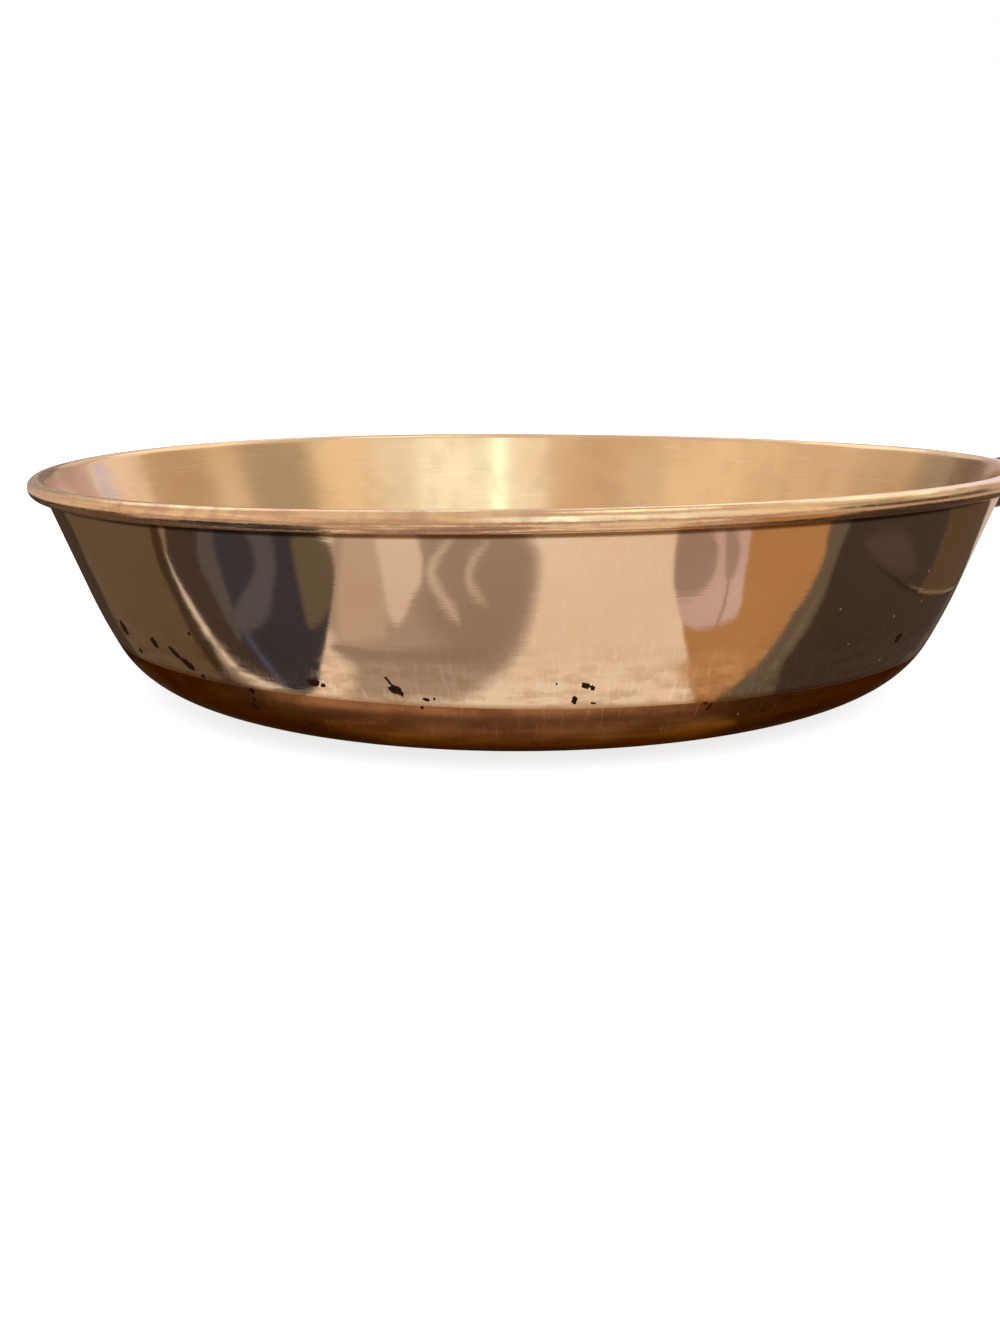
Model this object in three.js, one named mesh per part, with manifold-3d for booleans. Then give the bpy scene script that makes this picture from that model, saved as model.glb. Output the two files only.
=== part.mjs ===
// Copper-bottom skillet: a drawn stainless pan with a copper skin under it and a two-part moulded handle.
// Millimetres, +Z up. The origin is the centre of the base, on the surface that the pan stands on.
// The handle points along +X.
import * as THREE from 'three';
import { mergeVertices } from 'three/addons/utils/BufferGeometryUtils.js';
import Module from 'manifold-3d';

const wasm = await Module();
wasm.setup();

const radians = THREE.MathUtils.degToRad;

// Driving dimensions of the pan, in millimetres, with angles in degrees
const RIM_RADIUS = 130;
const PAN_HEIGHT = 57.7;
const SHEET = 1.2;
const LIP_RADIUS = 2.2;
const LIP_SLIT = 0.5;
const WALL_LEAN = 19.2;
const FOOT_LEAN = 26.1;
const FOOT_RADIUS = 131;
const KNUCKLE_LEAN = 71;
const KNUCKLE_RADIUS = 22.7;
const BASE_CURVE_RADIUS = 62.5;

// Driving dimensions of the copper skin
const COPPER_THICKNESS = 0.5;
const COPPER_HEIGHT = 16.5;
const SKIN_GAP = 0.2;

// Driving dimensions of the bracket
const SADDLE_SHEET = 1.5;
const SADDLE_WIDTH = 46;
const SADDLE_FOOT_WIDTH = 26;
const SADDLE_HEIGHT = 23;
const SADDLE_CORNER = 5;
const SADDLE_BELOW_LIP = 1.6;
const HANDLE_RISE = 8;
const TANG_WIDTH = 15;
const TANG_THICKNESS = 2.5;
const TANG_SIDE_SHEET = 2;
const TANG_SIDE_DEPTH = 8;

// Driving dimensions of the handle, measured along it from the pan's wall
const GUARD_START = 28;
const GUARD_LENGTH = 10;
const GUARD_RADIUS = 11;
const GUARD_SHEET = 0.9;
const GRIP_LENGTH = 160;
const GRIP_NECK_RADIUS = 11.2;
const GRIP_PALM_RADIUS = 13.6;
const GRIP_TAIL_RADIUS = 12.2;
const GRIP_END_ROUND = 5;
const GRIP_FLATNESS = 0.68;
const PARTING_LINE = 0.3;

// Driving dimensions of the screws and nuts that clamp the handle
const SCREW_RADIUS = 1.9;
const SCREW_HEAD_RADIUS = 3.5;
const SCREW_HEAD_HEIGHT = 2.2;
const SCREW_SLOT_WIDTH = 0.9;
const SCREW_SLOT_DEPTH = 1;
const SCREW_SEAT = 5;
const NUT_ACROSS_FLATS = 7;
const NUT_HEIGHT = 3;
const SCREW_INSET = 40;

// Driving dimensions of the hanging ring and its pin
const PIN_RADIUS = 1.8;
const PIN_LENGTH = 18;
const PIN_TO_GRIP_END = 5.5;
const BARREL_RADIUS = 3.4;
const BARREL_LENGTH = 9;
const RING_RADIUS = 13.5;
const RING_WIRE_RADIUS = 1.7;
const RING_STEM_WIDTH = 6;

// Clearances
const CLEARANCE = 0.3;
const PIN_CLEARANCE = 0.2;
const NOTCH_SIDE_CLEARANCE = 0.6;
const NOTCH_BACK_CLEARANCE = 1.2;
const RING_SWING_CLEARANCE = 0.9;

// How finely round shapes are cut into flats
const PAN_SEGMENTS = 72;
const GRIP_SEGMENTS = 28;
const PIN_SEGMENTS = 16;

const STAINLESS = { color: 0xc9b8a4, roughness: 0.22, metalness: 1 };
const COPPER = { color: 0x8f4a2a, roughness: 0.38, metalness: 1 };
const PRESSED_STEEL = { color: 0xb9b4ad, roughness: 0.3, metalness: 1 };
const PHENOLIC = { color: 0x17130f, roughness: 0.3, metalness: 0 };
const ZINC_STEEL = { color: 0xa3a19b, roughness: 0.42, metalness: 1 };

// A closed geometry turned into a solid that can be joined and cut
function toSolid(geometry) {
  const plain = geometry.clone();
  plain.deleteAttribute('normal');
  plain.deleteAttribute('uv');
  const merged = mergeVertices(plain, 1e-4);
  const corners = merged.index.array;
  const kept = [];
  for (let i = 0; i < corners.length; i += 3) {
    const [a, b, c] = [corners[i], corners[i + 1], corners[i + 2]];
    if (a !== b && b !== c && c !== a) {
      kept.push(a, b, c);
    }
  }
  return new wasm.Manifold(new wasm.Mesh({
    numProp: 3,
    vertProperties: new Float32Array(merged.attributes.position.array),
    triVerts: new Uint32Array(kept),
  }));
}

function toGeometry(solid) {
  const { vertProperties, triVerts } = solid.getMesh();
  const geometry = new THREE.BufferGeometry();
  geometry.setAttribute('position', new THREE.BufferAttribute(vertProperties, 3));
  geometry.setIndex(new THREE.BufferAttribute(triVerts, 1));
  return geometry;
}

function piece(name, solid, finish) {
  const geometry = toGeometry(solid);
  geometry.computeVertexNormals();
  const mesh = new THREE.Mesh(geometry, new THREE.MeshStandardMaterial(finish));
  mesh.name = name;
  return mesh;
}

// Solid of revolution about Z from an outline of radius and height
function turned(outline, segments) {
  const geometry = new THREE.LatheGeometry(outline, segments);
  geometry.rotateX(Math.PI / 2);
  return toSolid(geometry);
}

// Solid of revolution about X from an outline of radius and distance along X, flattened in height
function turnedAlongX(outline, segments, flatness) {
  const geometry = new THREE.LatheGeometry(outline, segments);
  geometry.rotateZ(-Math.PI / 2);
  geometry.scale(1, 1, flatness);
  return toSolid(geometry);
}

function box(from, to) {
  const size = to.clone().sub(from);
  const geometry = new THREE.BoxGeometry(size.x, size.y, size.z);
  const middle = from.clone().add(to).multiplyScalar(0.5);
  geometry.translate(middle.x, middle.y, middle.z);
  return toSolid(geometry);
}

// Round or hexagonal bar that stands along Z
function bar(radius, low, high, segments, x) {
  const geometry = new THREE.CylinderGeometry(radius, radius, high - low, segments);
  geometry.rotateX(Math.PI / 2);
  geometry.translate(x, 0, (low + high) / 2);
  return toSolid(geometry);
}

// Round bar that lies along Y and is centred on it
function crossBar(radius, length, x) {
  const geometry = new THREE.CylinderGeometry(radius, radius, length, PIN_SEGMENTS);
  geometry.translate(x, 0, 0);
  return toSolid(geometry);
}

function arcPoints(centre, radius, from, to, steps) {
  const points = [];
  for (let i = 0; i <= steps; i += 1) {
    const angle = from + (to - from) * i / steps;
    points.push(new THREE.Vector2(
      centre.r + radius * Math.cos(angle),
      centre.z + radius * Math.sin(angle),
    ));
  }
  return points;
}

// The wall's outer face, from the lip down to the flat base, as stations that each hold the
// radius, the height and the lean from upright
const lipCentre = { r: RIM_RADIUS - LIP_RADIUS, z: PAN_HEIGHT - LIP_RADIUS };
const lipBore = LIP_RADIUS - SHEET;

function curveDown(start, radius, lean, steps) {
  const stations = [];
  for (let i = 1; i <= steps; i += 1) {
    const reached = start.lean + (lean - start.lean) * i / steps;
    stations.push({
      r: start.r - radius * (Math.cos(start.lean) - Math.cos(reached)),
      z: start.z - radius * (Math.sin(reached) - Math.sin(start.lean)),
      lean: reached,
    });
  }
  return stations;
}

function wallStations() {
  const lean = radians(WALL_LEAN);
  const footLean = radians(FOOT_LEAN);
  const knuckleLean = radians(KNUCKLE_LEAN);
  const top = {
    r: lipCentre.r - lipBore * Math.cos(lean),
    z: lipCentre.z + lipBore * Math.sin(lean),
    lean,
  };
  const curvedHeight = FOOT_RADIUS * (Math.sin(footLean) - Math.sin(lean))
    + KNUCKLE_RADIUS * (Math.sin(knuckleLean) - Math.sin(footLean))
    + BASE_CURVE_RADIUS * (1 - Math.sin(knuckleLean));
  const straightEnd = {
    r: top.r - (top.z - curvedHeight) * Math.tan(lean),
    z: curvedHeight,
    lean,
  };
  const foot = curveDown(straightEnd, FOOT_RADIUS, footLean, 2);
  const knuckle = curveDown(foot.at(-1), KNUCKLE_RADIUS, knuckleLean, 6);
  const base = curveDown(knuckle.at(-1), BASE_CURVE_RADIUS, Math.PI / 2, 3);
  return [top, straightEnd, ...foot, ...knuckle, ...base];
}

const wall = wallStations();

function stationAt(height) {
  const below = wall.findIndex((station) => station.z <= height);
  const [upper, lower] = [wall[below - 1], wall[below]];
  const share = (upper.z - height) / (upper.z - lower.z);
  return {
    r: upper.r + (lower.r - upper.r) * share,
    z: height,
    lean: upper.lean + (lower.lean - upper.lean) * share,
  };
}

// Points at a distance outwards from the wall's outer face, or inwards where it is negative
function offset(stations, outwards) {
  return stations.map((station) => new THREE.Vector2(
    station.r + outwards * Math.cos(station.lean),
    station.z - outwards * Math.sin(station.lean),
  ));
}

const copperEdge = stationAt(COPPER_HEIGHT);
const wallAboveCopper = [...wall.filter((station) => station.z > COPPER_HEIGHT), copperEdge];
const wallUnderCopper = [copperEdge, ...wall.filter((station) => station.z < COPPER_HEIGHT)];
const skinDepth = COPPER_THICKNESS + SKIN_GAP;

// Outside of the curl, from its free end by the wall, round under and over it to the cooking face
function lipOutside() {
  const wallSide = Math.PI - radians(WALL_LEAN);
  const freeEnd = wallSide - 2 * Math.PI + Math.acos((lipBore - LIP_SLIT) / LIP_RADIUS);
  return [
    ...arcPoints(lipCentre, LIP_RADIUS, freeEnd, -Math.PI / 2, 1),
    ...arcPoints(lipCentre, LIP_RADIUS, -Math.PI / 2, 0, 3).slice(1),
    ...arcPoints(lipCentre, LIP_RADIUS, 0, Math.PI / 2, 3).slice(1),
    ...arcPoints(lipCentre, LIP_RADIUS, Math.PI / 2, wallSide, 3).slice(1),
  ];
}

// Inside of the curl, from the wall's outer face over and round to its free end
function lipInside() {
  const wallSide = Math.PI - radians(WALL_LEAN);
  const freeEnd = wallSide - 2 * Math.PI + Math.acos((lipBore - LIP_SLIT) / LIP_RADIUS);
  return arcPoints(lipCentre, lipBore, wallSide, freeEnd, 6);
}

function panBody() {
  const outline = [
    new THREE.Vector2(0, skinDepth),
    ...offset(wallUnderCopper, -skinDepth).reverse(),
    ...offset(wallAboveCopper, 0).reverse(),
    ...lipInside().slice(1),
    ...lipOutside(),
    ...offset(wall, -SHEET).slice(1),
    new THREE.Vector2(0, SHEET),
  ];
  return piece('pan_body', turned(outline, PAN_SEGMENTS), STAINLESS);
}

function copperBottom() {
  const outline = [
    new THREE.Vector2(0, 0),
    ...offset(wallUnderCopper, 0).reverse(),
    ...offset(wallUnderCopper, -COPPER_THICKNESS),
    new THREE.Vector2(0, COPPER_THICKNESS),
  ];
  return piece('copper_bottom', turned(outline, PAN_SEGMENTS), COPPER);
}

// The saddle sits under the lip, and the tang leaves it at mid-height
const saddleTop = PAN_HEIGHT - 2 * LIP_RADIUS - SADDLE_BELOW_LIP;
const saddleFoot = saddleTop - SADDLE_HEIGHT;
const handleRoot = stationAt((saddleTop + saddleFoot) / 2);

const handle = new THREE.Group();
handle.position.set(handleRoot.r, 0, handleRoot.z);
handle.rotation.y = -radians(HANDLE_RISE);
handle.updateMatrixWorld();

// Places along the handle, from the wall
const guardEnd = GUARD_START + GUARD_LENGTH;
const noseRadius = GUARD_RADIUS - GUARD_SHEET - CLEARANCE;
const gripStart = GUARD_START + GUARD_SHEET + CLEARANCE;
const gripShoulder = guardEnd + CLEARANCE;
const gripEnd = gripStart + GRIP_LENGTH;
const pinPlace = gripEnd - PIN_TO_GRIP_END;
const notchBack = pinPlace - BARREL_RADIUS - NOTCH_BACK_CLEARANCE;
const frontScrew = gripStart + SCREW_INSET;
const rearScrew = notchBack - SCREW_INSET;
const tangEnd = rearScrew + TANG_WIDTH;

// A shape through the given corners, each rounded
function roundedShape(corners, radius) {
  const shape = new THREE.Shape();
  corners.forEach((corner, i) => {
    const before = corners.at(i - 1).clone().sub(corner).setLength(radius).add(corner);
    const after = corners[(i + 1) % corners.length].clone().sub(corner).setLength(radius).add(corner);
    if (i === 0) {
      shape.moveTo(before.x, before.y);
    } else {
      shape.lineTo(before.x, before.y);
    }
    shape.quadraticCurveTo(corner.x, corner.y, after.x, after.y);
  });
  shape.closePath();
  return shape;
}

// The plate that lies on the wall: a ring that follows it, trimmed to a shield
function saddle() {
  const ring = turned([
    ...offset(wall, CLEARANCE + SADDLE_SHEET).reverse(),
    ...offset(wall, CLEARANCE),
    offset(wall, CLEARANCE + SADDLE_SHEET).at(-1),
  ], PAN_SEGMENTS);
  const shield = new THREE.ExtrudeGeometry(roundedShape([
    new THREE.Vector2(-SADDLE_WIDTH / 2, saddleTop),
    new THREE.Vector2(-SADDLE_FOOT_WIDTH / 2, saddleFoot),
    new THREE.Vector2(SADDLE_FOOT_WIDTH / 2, saddleFoot),
    new THREE.Vector2(SADDLE_WIDTH / 2, saddleTop),
  ], SADDLE_CORNER), { depth: RIM_RADIUS * 2, bevelEnabled: false, curveSegments: 4 });
  shield.applyMatrix4(new THREE.Matrix4().makeBasis(
    new THREE.Vector3(0, 1, 0),
    new THREE.Vector3(0, 0, 1),
    new THREE.Vector3(1, 0, 0),
  ));
  return ring.intersect(toSolid(shield));
}

// The flat strap that the grip closes on, drilled for the screws
function strap() {
  const outline = new THREE.Shape();
  const half = TANG_WIDTH / 2;
  outline.moveTo(-TANG_WIDTH, -half);
  outline.lineTo(tangEnd - half, -half);
  outline.absarc(tangEnd - half, 0, half, -Math.PI / 2, Math.PI / 2, false);
  outline.lineTo(-TANG_WIDTH, half);
  outline.closePath();
  for (const place of [frontScrew, rearScrew]) {
    const hole = new THREE.Path();
    hole.absarc(place, 0, SCREW_RADIUS + CLEARANCE, 0, 2 * Math.PI, true);
    outline.holes.push(hole);
  }
  const depth = TANG_THICKNESS;
  const geometry = new THREE.ExtrudeGeometry(outline, { depth, bevelEnabled: false, curveSegments: 8 });
  geometry.translate(0, 0, -TANG_THICKNESS / 2);
  return toSolid(geometry);
}

// One of the two sides that are folded down from the strap between the saddle and the guard
function strapSide(side) {
  const top = TANG_THICKNESS / 2;
  const end = GUARD_START - CLEARANCE;
  const outline = new THREE.Shape([
    new THREE.Vector2(-TANG_WIDTH, top),
    new THREE.Vector2(-TANG_WIDTH, top - TANG_SIDE_DEPTH * 1.5),
    new THREE.Vector2(end / 3, top - TANG_SIDE_DEPTH),
    new THREE.Vector2(end, -top),
    new THREE.Vector2(end, top),
  ]);
  const depth = TANG_SIDE_SHEET;
  const geometry = new THREE.ExtrudeGeometry(outline, { depth, bevelEnabled: false });
  geometry.rotateX(Math.PI / 2);
  const middle = side * (TANG_WIDTH - TANG_SIDE_SHEET) / 2;
  geometry.translate(0, middle + TANG_SIDE_SHEET / 2, 0);
  return toSolid(geometry);
}

function handleBracket() {
  const panSpace = turned([
    new THREE.Vector2(0, offset(wall, CLEARANCE).at(-1).y),
    ...offset(wall, CLEARANCE).reverse(),
    new THREE.Vector2(0, offset(wall, CLEARANCE)[0].y),
  ], PAN_SEGMENTS);
  const tang = strap().add(strapSide(-1)).add(strapSide(1));
  const tangGeometry = toGeometry(tang).applyMatrix4(handle.matrixWorld);
  const bracket = saddle().add(toSolid(tangGeometry)).subtract(panSpace);
  return piece('handle_bracket', bracket, PRESSED_STEEL);
}

// A dished collar round the strap, which keeps the flame off the front of the grip
function flameGuard() {
  const bend = GUARD_SHEET * 1.5;
  const cup = turnedAlongX([
    new THREE.Vector2(0, GUARD_START),
    new THREE.Vector2(GUARD_RADIUS - bend, GUARD_START),
    new THREE.Vector2(GUARD_RADIUS, GUARD_START + bend),
    new THREE.Vector2(GUARD_RADIUS, guardEnd),
    new THREE.Vector2(GUARD_RADIUS - GUARD_SHEET, guardEnd),
    new THREE.Vector2(GUARD_RADIUS - GUARD_SHEET, GUARD_START + GUARD_SHEET),
    new THREE.Vector2(0, GUARD_START + GUARD_SHEET),
  ], GRIP_SEGMENTS, GRIP_FLATNESS);
  return piece('flame_guard', cup.subtract(strapSpace()), PRESSED_STEEL);
}

// Room for the strap through the guard and in the grip
function strapSpace() {
  const half = TANG_WIDTH / 2 + CLEARANCE;
  const height = TANG_THICKNESS / 2 + CLEARANCE;
  return box(
    new THREE.Vector3(0, -half, -height),
    new THREE.Vector3(tangEnd + CLEARANCE, half, height),
  );
}

// The closed form of the whole grip, before it is split: a nose inside the guard, a waist at the
// front, a fuller palm and a rounded tail
function gripForm() {
  const tailStart = gripEnd - GRIP_END_ROUND;
  const palm = (gripShoulder + tailStart) / 2;
  const side = new THREE.SplineCurve([
    new THREE.Vector2(GRIP_NECK_RADIUS, gripShoulder),
    new THREE.Vector2((GRIP_NECK_RADIUS + GRIP_PALM_RADIUS) / 2, (gripShoulder + palm) / 2),
    new THREE.Vector2(GRIP_PALM_RADIUS, palm),
    new THREE.Vector2((GRIP_PALM_RADIUS + GRIP_TAIL_RADIUS) / 2, (palm + tailStart) / 2),
    new THREE.Vector2(GRIP_TAIL_RADIUS, tailStart),
  ]);
  const tail = [1, 2, 3].map((step) => new THREE.Vector2(
    GRIP_TAIL_RADIUS - GRIP_END_ROUND * (1 - Math.cos(step * Math.PI / 6)),
    tailStart + GRIP_END_ROUND * Math.sin(step * Math.PI / 6),
  ));
  return turnedAlongX([
    new THREE.Vector2(0, gripStart),
    new THREE.Vector2(noseRadius, gripStart),
    new THREE.Vector2(noseRadius, gripShoulder),
    ...side.getPoints(10),
    ...tail,
    new THREE.Vector2(0, gripEnd),
  ], GRIP_SEGMENTS, GRIP_FLATNESS);
}

// The notch in the tail that the ring's barrel turns in
function ringNotch() {
  const half = BARREL_LENGTH / 2 + NOTCH_SIDE_CLEARANCE;
  return box(
    new THREE.Vector3(notchBack, -half, -GRIP_TAIL_RADIUS),
    new THREE.Vector3(gripEnd + GRIP_END_ROUND, half, GRIP_TAIL_RADIUS),
  );
}

// One half of the grip, above or below the parting line
function gripHalf(side) {
  const reach = GRIP_PALM_RADIUS + GRIP_NECK_RADIUS + GRIP_TAIL_RADIUS;
  const faces = [side * PARTING_LINE / 2, side * reach].sort((a, b) => a - b);
  const keep = box(
    new THREE.Vector3(0, -reach, faces[0]),
    new THREE.Vector3(gripEnd + reach, reach, faces[1]),
  );
  return gripForm()
    .intersect(keep)
    .subtract(strapSpace())
    .subtract(ringNotch())
    .subtract(crossBar(PIN_RADIUS + PIN_CLEARANCE, PIN_LENGTH + 2 * CLEARANCE, pinPlace));
}

const nutLow = TANG_THICKNESS / 2 + CLEARANCE;
const nutHigh = nutLow + NUT_HEIGHT;
const nutCorner = NUT_ACROSS_FLATS / 2 / Math.cos(Math.PI / 6);
const screwTop = nutHigh;

function gripUpper() {
  let half = gripHalf(1);
  for (const place of [frontScrew, rearScrew]) {
    const pocketCorner = nutCorner + CLEARANCE / Math.cos(Math.PI / 6);
    half = half.subtract(bar(pocketCorner, 0, nutHigh + CLEARANCE, 6, place));
  }
  return piece('grip_upper', half, PHENOLIC);
}

function gripLower() {
  let half = gripHalf(-1);
  for (const place of [frontScrew, rearScrew]) {
    half = half
      .subtract(bar(SCREW_RADIUS + CLEARANCE, -SCREW_SEAT * 2, 0, PIN_SEGMENTS, place))
      .subtract(bar(SCREW_HEAD_RADIUS + CLEARANCE, -GRIP_PALM_RADIUS, -SCREW_SEAT, PIN_SEGMENTS, place));
  }
  return piece('grip_lower', half, PHENOLIC);
}

function tangScrew(name, place) {
  const headTop = -SCREW_SEAT - CLEARANCE;
  const headLow = headTop - SCREW_HEAD_HEIGHT;
  const slot = box(
    new THREE.Vector3(place - SCREW_SLOT_WIDTH / 2, -SCREW_HEAD_RADIUS * 2, headLow * 2),
    new THREE.Vector3(place + SCREW_SLOT_WIDTH / 2, SCREW_HEAD_RADIUS * 2, headLow + SCREW_SLOT_DEPTH),
  );
  const screw = bar(SCREW_HEAD_RADIUS, headLow, headTop, PIN_SEGMENTS, place)
    .add(bar(SCREW_RADIUS, headLow + SCREW_SLOT_DEPTH, screwTop, PIN_SEGMENTS, place))
    .subtract(slot);
  return piece(name, screw, ZINC_STEEL);
}

function tangNut(name, place) {
  const bore = bar(SCREW_RADIUS + PIN_CLEARANCE, 0, nutHigh * 2, PIN_SEGMENTS, place);
  const nut = bar(nutCorner, nutLow, nutHigh, 6, place).subtract(bore);
  return piece(name, nut, ZINC_STEEL);
}

function ringPin() {
  return piece('ring_pin', crossBar(PIN_RADIUS, PIN_LENGTH, pinPlace), ZINC_STEEL);
}

// The ring hangs from its pin, with its own origin on the pin's axis
function hangingRing() {
  const ringTop = GRIP_TAIL_RADIUS * GRIP_FLATNESS + RING_SWING_CLEARANCE;
  const ringCentre = ringTop + RING_WIRE_RADIUS + RING_RADIUS;
  const loop = new THREE.TorusGeometry(RING_RADIUS, RING_WIRE_RADIUS, 8, 32);
  loop.rotateY(Math.PI / 2);
  loop.translate(0, 0, -ringCentre);
  const stem = box(
    new THREE.Vector3(-RING_WIRE_RADIUS, -RING_STEM_WIDTH / 2, -ringTop - RING_WIRE_RADIUS),
    new THREE.Vector3(RING_WIRE_RADIUS, RING_STEM_WIDTH / 2, 0),
  );
  const ring = crossBar(BARREL_RADIUS, BARREL_LENGTH, 0)
    .add(stem)
    .add(toSolid(loop))
    .subtract(crossBar(PIN_RADIUS + PIN_CLEARANCE, BARREL_LENGTH * 2, 0));
  return piece('hanging_ring', ring, PRESSED_STEEL);
}

handle.add(
  flameGuard(),
  gripUpper(),
  gripLower(),
  tangScrew('tang_screw_front', frontScrew),
  tangScrew('tang_screw_rear', rearScrew),
  tangNut('tang_nut_front', frontScrew),
  tangNut('tang_nut_rear', rearScrew),
  ringPin(),
);

const ring = hangingRing();
ring.position.copy(handle.localToWorld(new THREE.Vector3(pinPlace, 0, 0)));

const skillet = new THREE.Group();
skillet.add(panBody(), copperBottom(), handleBracket(), handle, ring);

export default skillet;
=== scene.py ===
from math import atan2, cos, hypot, pi, radians, sin
from random import Random

import bpy
from mathutils import Matrix, Vector


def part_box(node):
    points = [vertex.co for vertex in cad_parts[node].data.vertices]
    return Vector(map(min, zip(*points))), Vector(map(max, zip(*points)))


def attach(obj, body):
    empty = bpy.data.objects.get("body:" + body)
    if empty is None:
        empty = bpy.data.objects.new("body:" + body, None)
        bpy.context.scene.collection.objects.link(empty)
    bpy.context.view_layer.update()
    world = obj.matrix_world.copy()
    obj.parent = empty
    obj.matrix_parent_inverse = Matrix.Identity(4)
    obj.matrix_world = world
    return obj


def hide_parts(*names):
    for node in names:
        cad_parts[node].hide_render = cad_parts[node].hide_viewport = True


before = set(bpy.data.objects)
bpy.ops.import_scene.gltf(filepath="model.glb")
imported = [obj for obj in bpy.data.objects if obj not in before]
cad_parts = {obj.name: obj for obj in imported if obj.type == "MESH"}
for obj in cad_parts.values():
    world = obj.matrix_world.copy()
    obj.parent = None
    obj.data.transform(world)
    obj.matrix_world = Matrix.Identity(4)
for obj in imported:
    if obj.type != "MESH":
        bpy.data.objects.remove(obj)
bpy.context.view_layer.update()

MM = 0.001

# The photograph's view: X to the camera's right, Y away from it, from the middle of the lip's height
HANDLE_TURN = radians(17.5)
CAMERA_DISTANCE = 341.2 * MM
CAMERA_ABOVE_LIP = 24.6 * MM
CAMERA_PITCH = 0.2437
CAMERA_YAW = -0.0185
CAMERA_ROLL = -0.0081
LENS_MM = 32.41
SENSOR_MM = 36

# Driving dimensions of the pan. Its width and height are those of its solid
pan_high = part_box("pan_body")[1]
RIM_RADIUS = pan_high.x
PAN_HEIGHT = pan_high.z
SHEET = 1.2 * MM
LIP_RADIUS = 2.2 * MM
LIP_GAP = radians(77)
WALL_LEAN = radians(19.2)
FOOT_LEAN = radians(26.1)
FOOT_RADIUS = 131 * MM
KNUCKLE_LEAN = radians(71)
KNUCKLE_RADIUS = 22.7 * MM
BASE_CURVE_RADIUS = 62.5 * MM

# Driving dimensions of the copper skin
COPPER_THICKNESS = 0.5 * MM
SKIN_GAP = 0.2 * MM
COPPER_LINE = 41.9 * MM
COPPER_LINE_TILT = 1.9 * MM
COPPER_LINE_DIP = 2.2 * MM
COPPER_LINE_SPREAD = 12 * MM
SEAM_ROUND = 0.06 * MM

# How finely the round shapes are turned
PAN_STEPS = 288
GRIP_STEPS = 128
GUARD_STEPS = 96
PIN_STEPS = 64
ROD_STEPS = 48
ARC_STEP = radians(9)
SEAM_GAP = 0.002 * MM


def from_camera(across, away, height=0.0):
    """A place in the photograph's view, in the pan's own frame"""
    return Matrix.Rotation(-HANDLE_TURN, 3, "Z") @ Vector((across, away, height))


def make_camera():
    bpy.ops.object.camera_add()
    camera = bpy.context.object
    camera.data.lens = LENS_MM
    camera.data.sensor_width = SENSOR_MM
    camera.data.clip_start = 10 * MM
    place = from_camera(0, -CAMERA_DISTANCE, PAN_HEIGHT + CAMERA_ABOVE_LIP)
    turn = Matrix.Rotation(-CAMERA_YAW - HANDLE_TURN, 4, "Z")
    tilt = Matrix.Rotation(radians(90) - CAMERA_PITCH, 4, "X")
    roll = Matrix.Rotation(CAMERA_ROLL, 4, "Z")
    camera.matrix_world = Matrix.Translation(place) @ turn @ tilt @ roll
    bpy.context.scene.camera = camera


make_camera()


# Materials

# Sockets by their number, of a range and of a mix of colours, and the settings of both
VALUE, LOW, HIGH, AT_LOW, AT_HIGH = range(5)
SHARE, FIRST, SECOND = 0, 6, 7
SMOOTH = {"interpolation_type": "SMOOTHSTEP"}
COLOURS = {"data_type": "RGBA", "output": 2}


def linear(colour):
    """An sRGB hex colour as linear red, green, blue and alpha"""
    channels = [int(colour[i:i + 2], 16) / 255 for i in (1, 3, 5)]
    return [c / 12.92 if c <= 0.04045 else ((c + 0.055) / 1.055) ** 2.4 for c in channels] + [1.0]


def feed(tree, node, inputs):
    """Gives a node's inputs their values or links"""
    for socket, value in inputs.items():
        if isinstance(value, bpy.types.NodeSocket):
            tree.links.new(value, node.inputs[socket])
        else:
            node.inputs[socket].default_value = value


def add_node(tree, kind, inputs=None, output=0, **settings):
    """Adds a node with its settings and inputs, and gives back one of its outputs"""
    node = tree.nodes.new("ShaderNode" + kind)
    for name, value in settings.items():
        setattr(node, name, value)
    feed(tree, node, inputs or {})
    return node.outputs[output] if node.outputs else None


def new_material(name):
    """A new material with its node tree and its shader"""
    material = bpy.data.materials.new(name)
    material.use_nodes = True
    return material, material.node_tree, material.node_tree.nodes["Principled BSDF"]


def around_wall(tree):
    """A place on the pan's skin: round a drum as wide as the lip, and up from the middle of the base"""
    place = add_node(tree, "TexCoord", output="Object")
    flat = add_node(tree, "VectorMath", {0: place, 1: (1, 1, 0)}, operation="MULTIPLY")
    radius = add_node(tree, "VectorMath", {0: flat}, "Value", operation="LENGTH")
    spoke = add_node(tree, "VectorMath", {0: flat}, operation="NORMALIZE")
    height = add_node(tree, "SeparateXYZ", {0: place}, "Z")
    climb = add_node(tree, "Math", {0: radius, 1: height}, operation="ADD")
    upwards = add_node(tree, "CombineXYZ", {"Z": climb})
    drum = {0: spoke, 1: (RIM_RADIUS, RIM_RADIUS, RIM_RADIUS), 2: upwards}
    return add_node(tree, "VectorMath", drum, operation="MULTIPLY_ADD")


def marks_of(tree, place, grain, detail=2):
    """Soft marks about a half, whose grain is this many millimetres long on each axis"""
    grains = [1 / (length * MM) for length in grain]
    scaled = add_node(tree, "VectorMath", {0: place, 1: grains}, operation="MULTIPLY")
    return add_node(tree, "TexNoise", {"Vector": scaled, "Scale": 1.0, "Detail": detail})


def tinted(tree, colour, tint, marks, low, high, most=1.0):
    """The colour, carried smoothly to the tint as the marks go from low to high"""
    share = add_node(tree, "MapRange", {VALUE: marks, LOW: low, HIGH: high, AT_HIGH: most}, **SMOOTH)
    return add_node(tree, "Mix", {SHARE: share, FIRST: colour, SECOND: tint}, **COLOURS)


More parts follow.
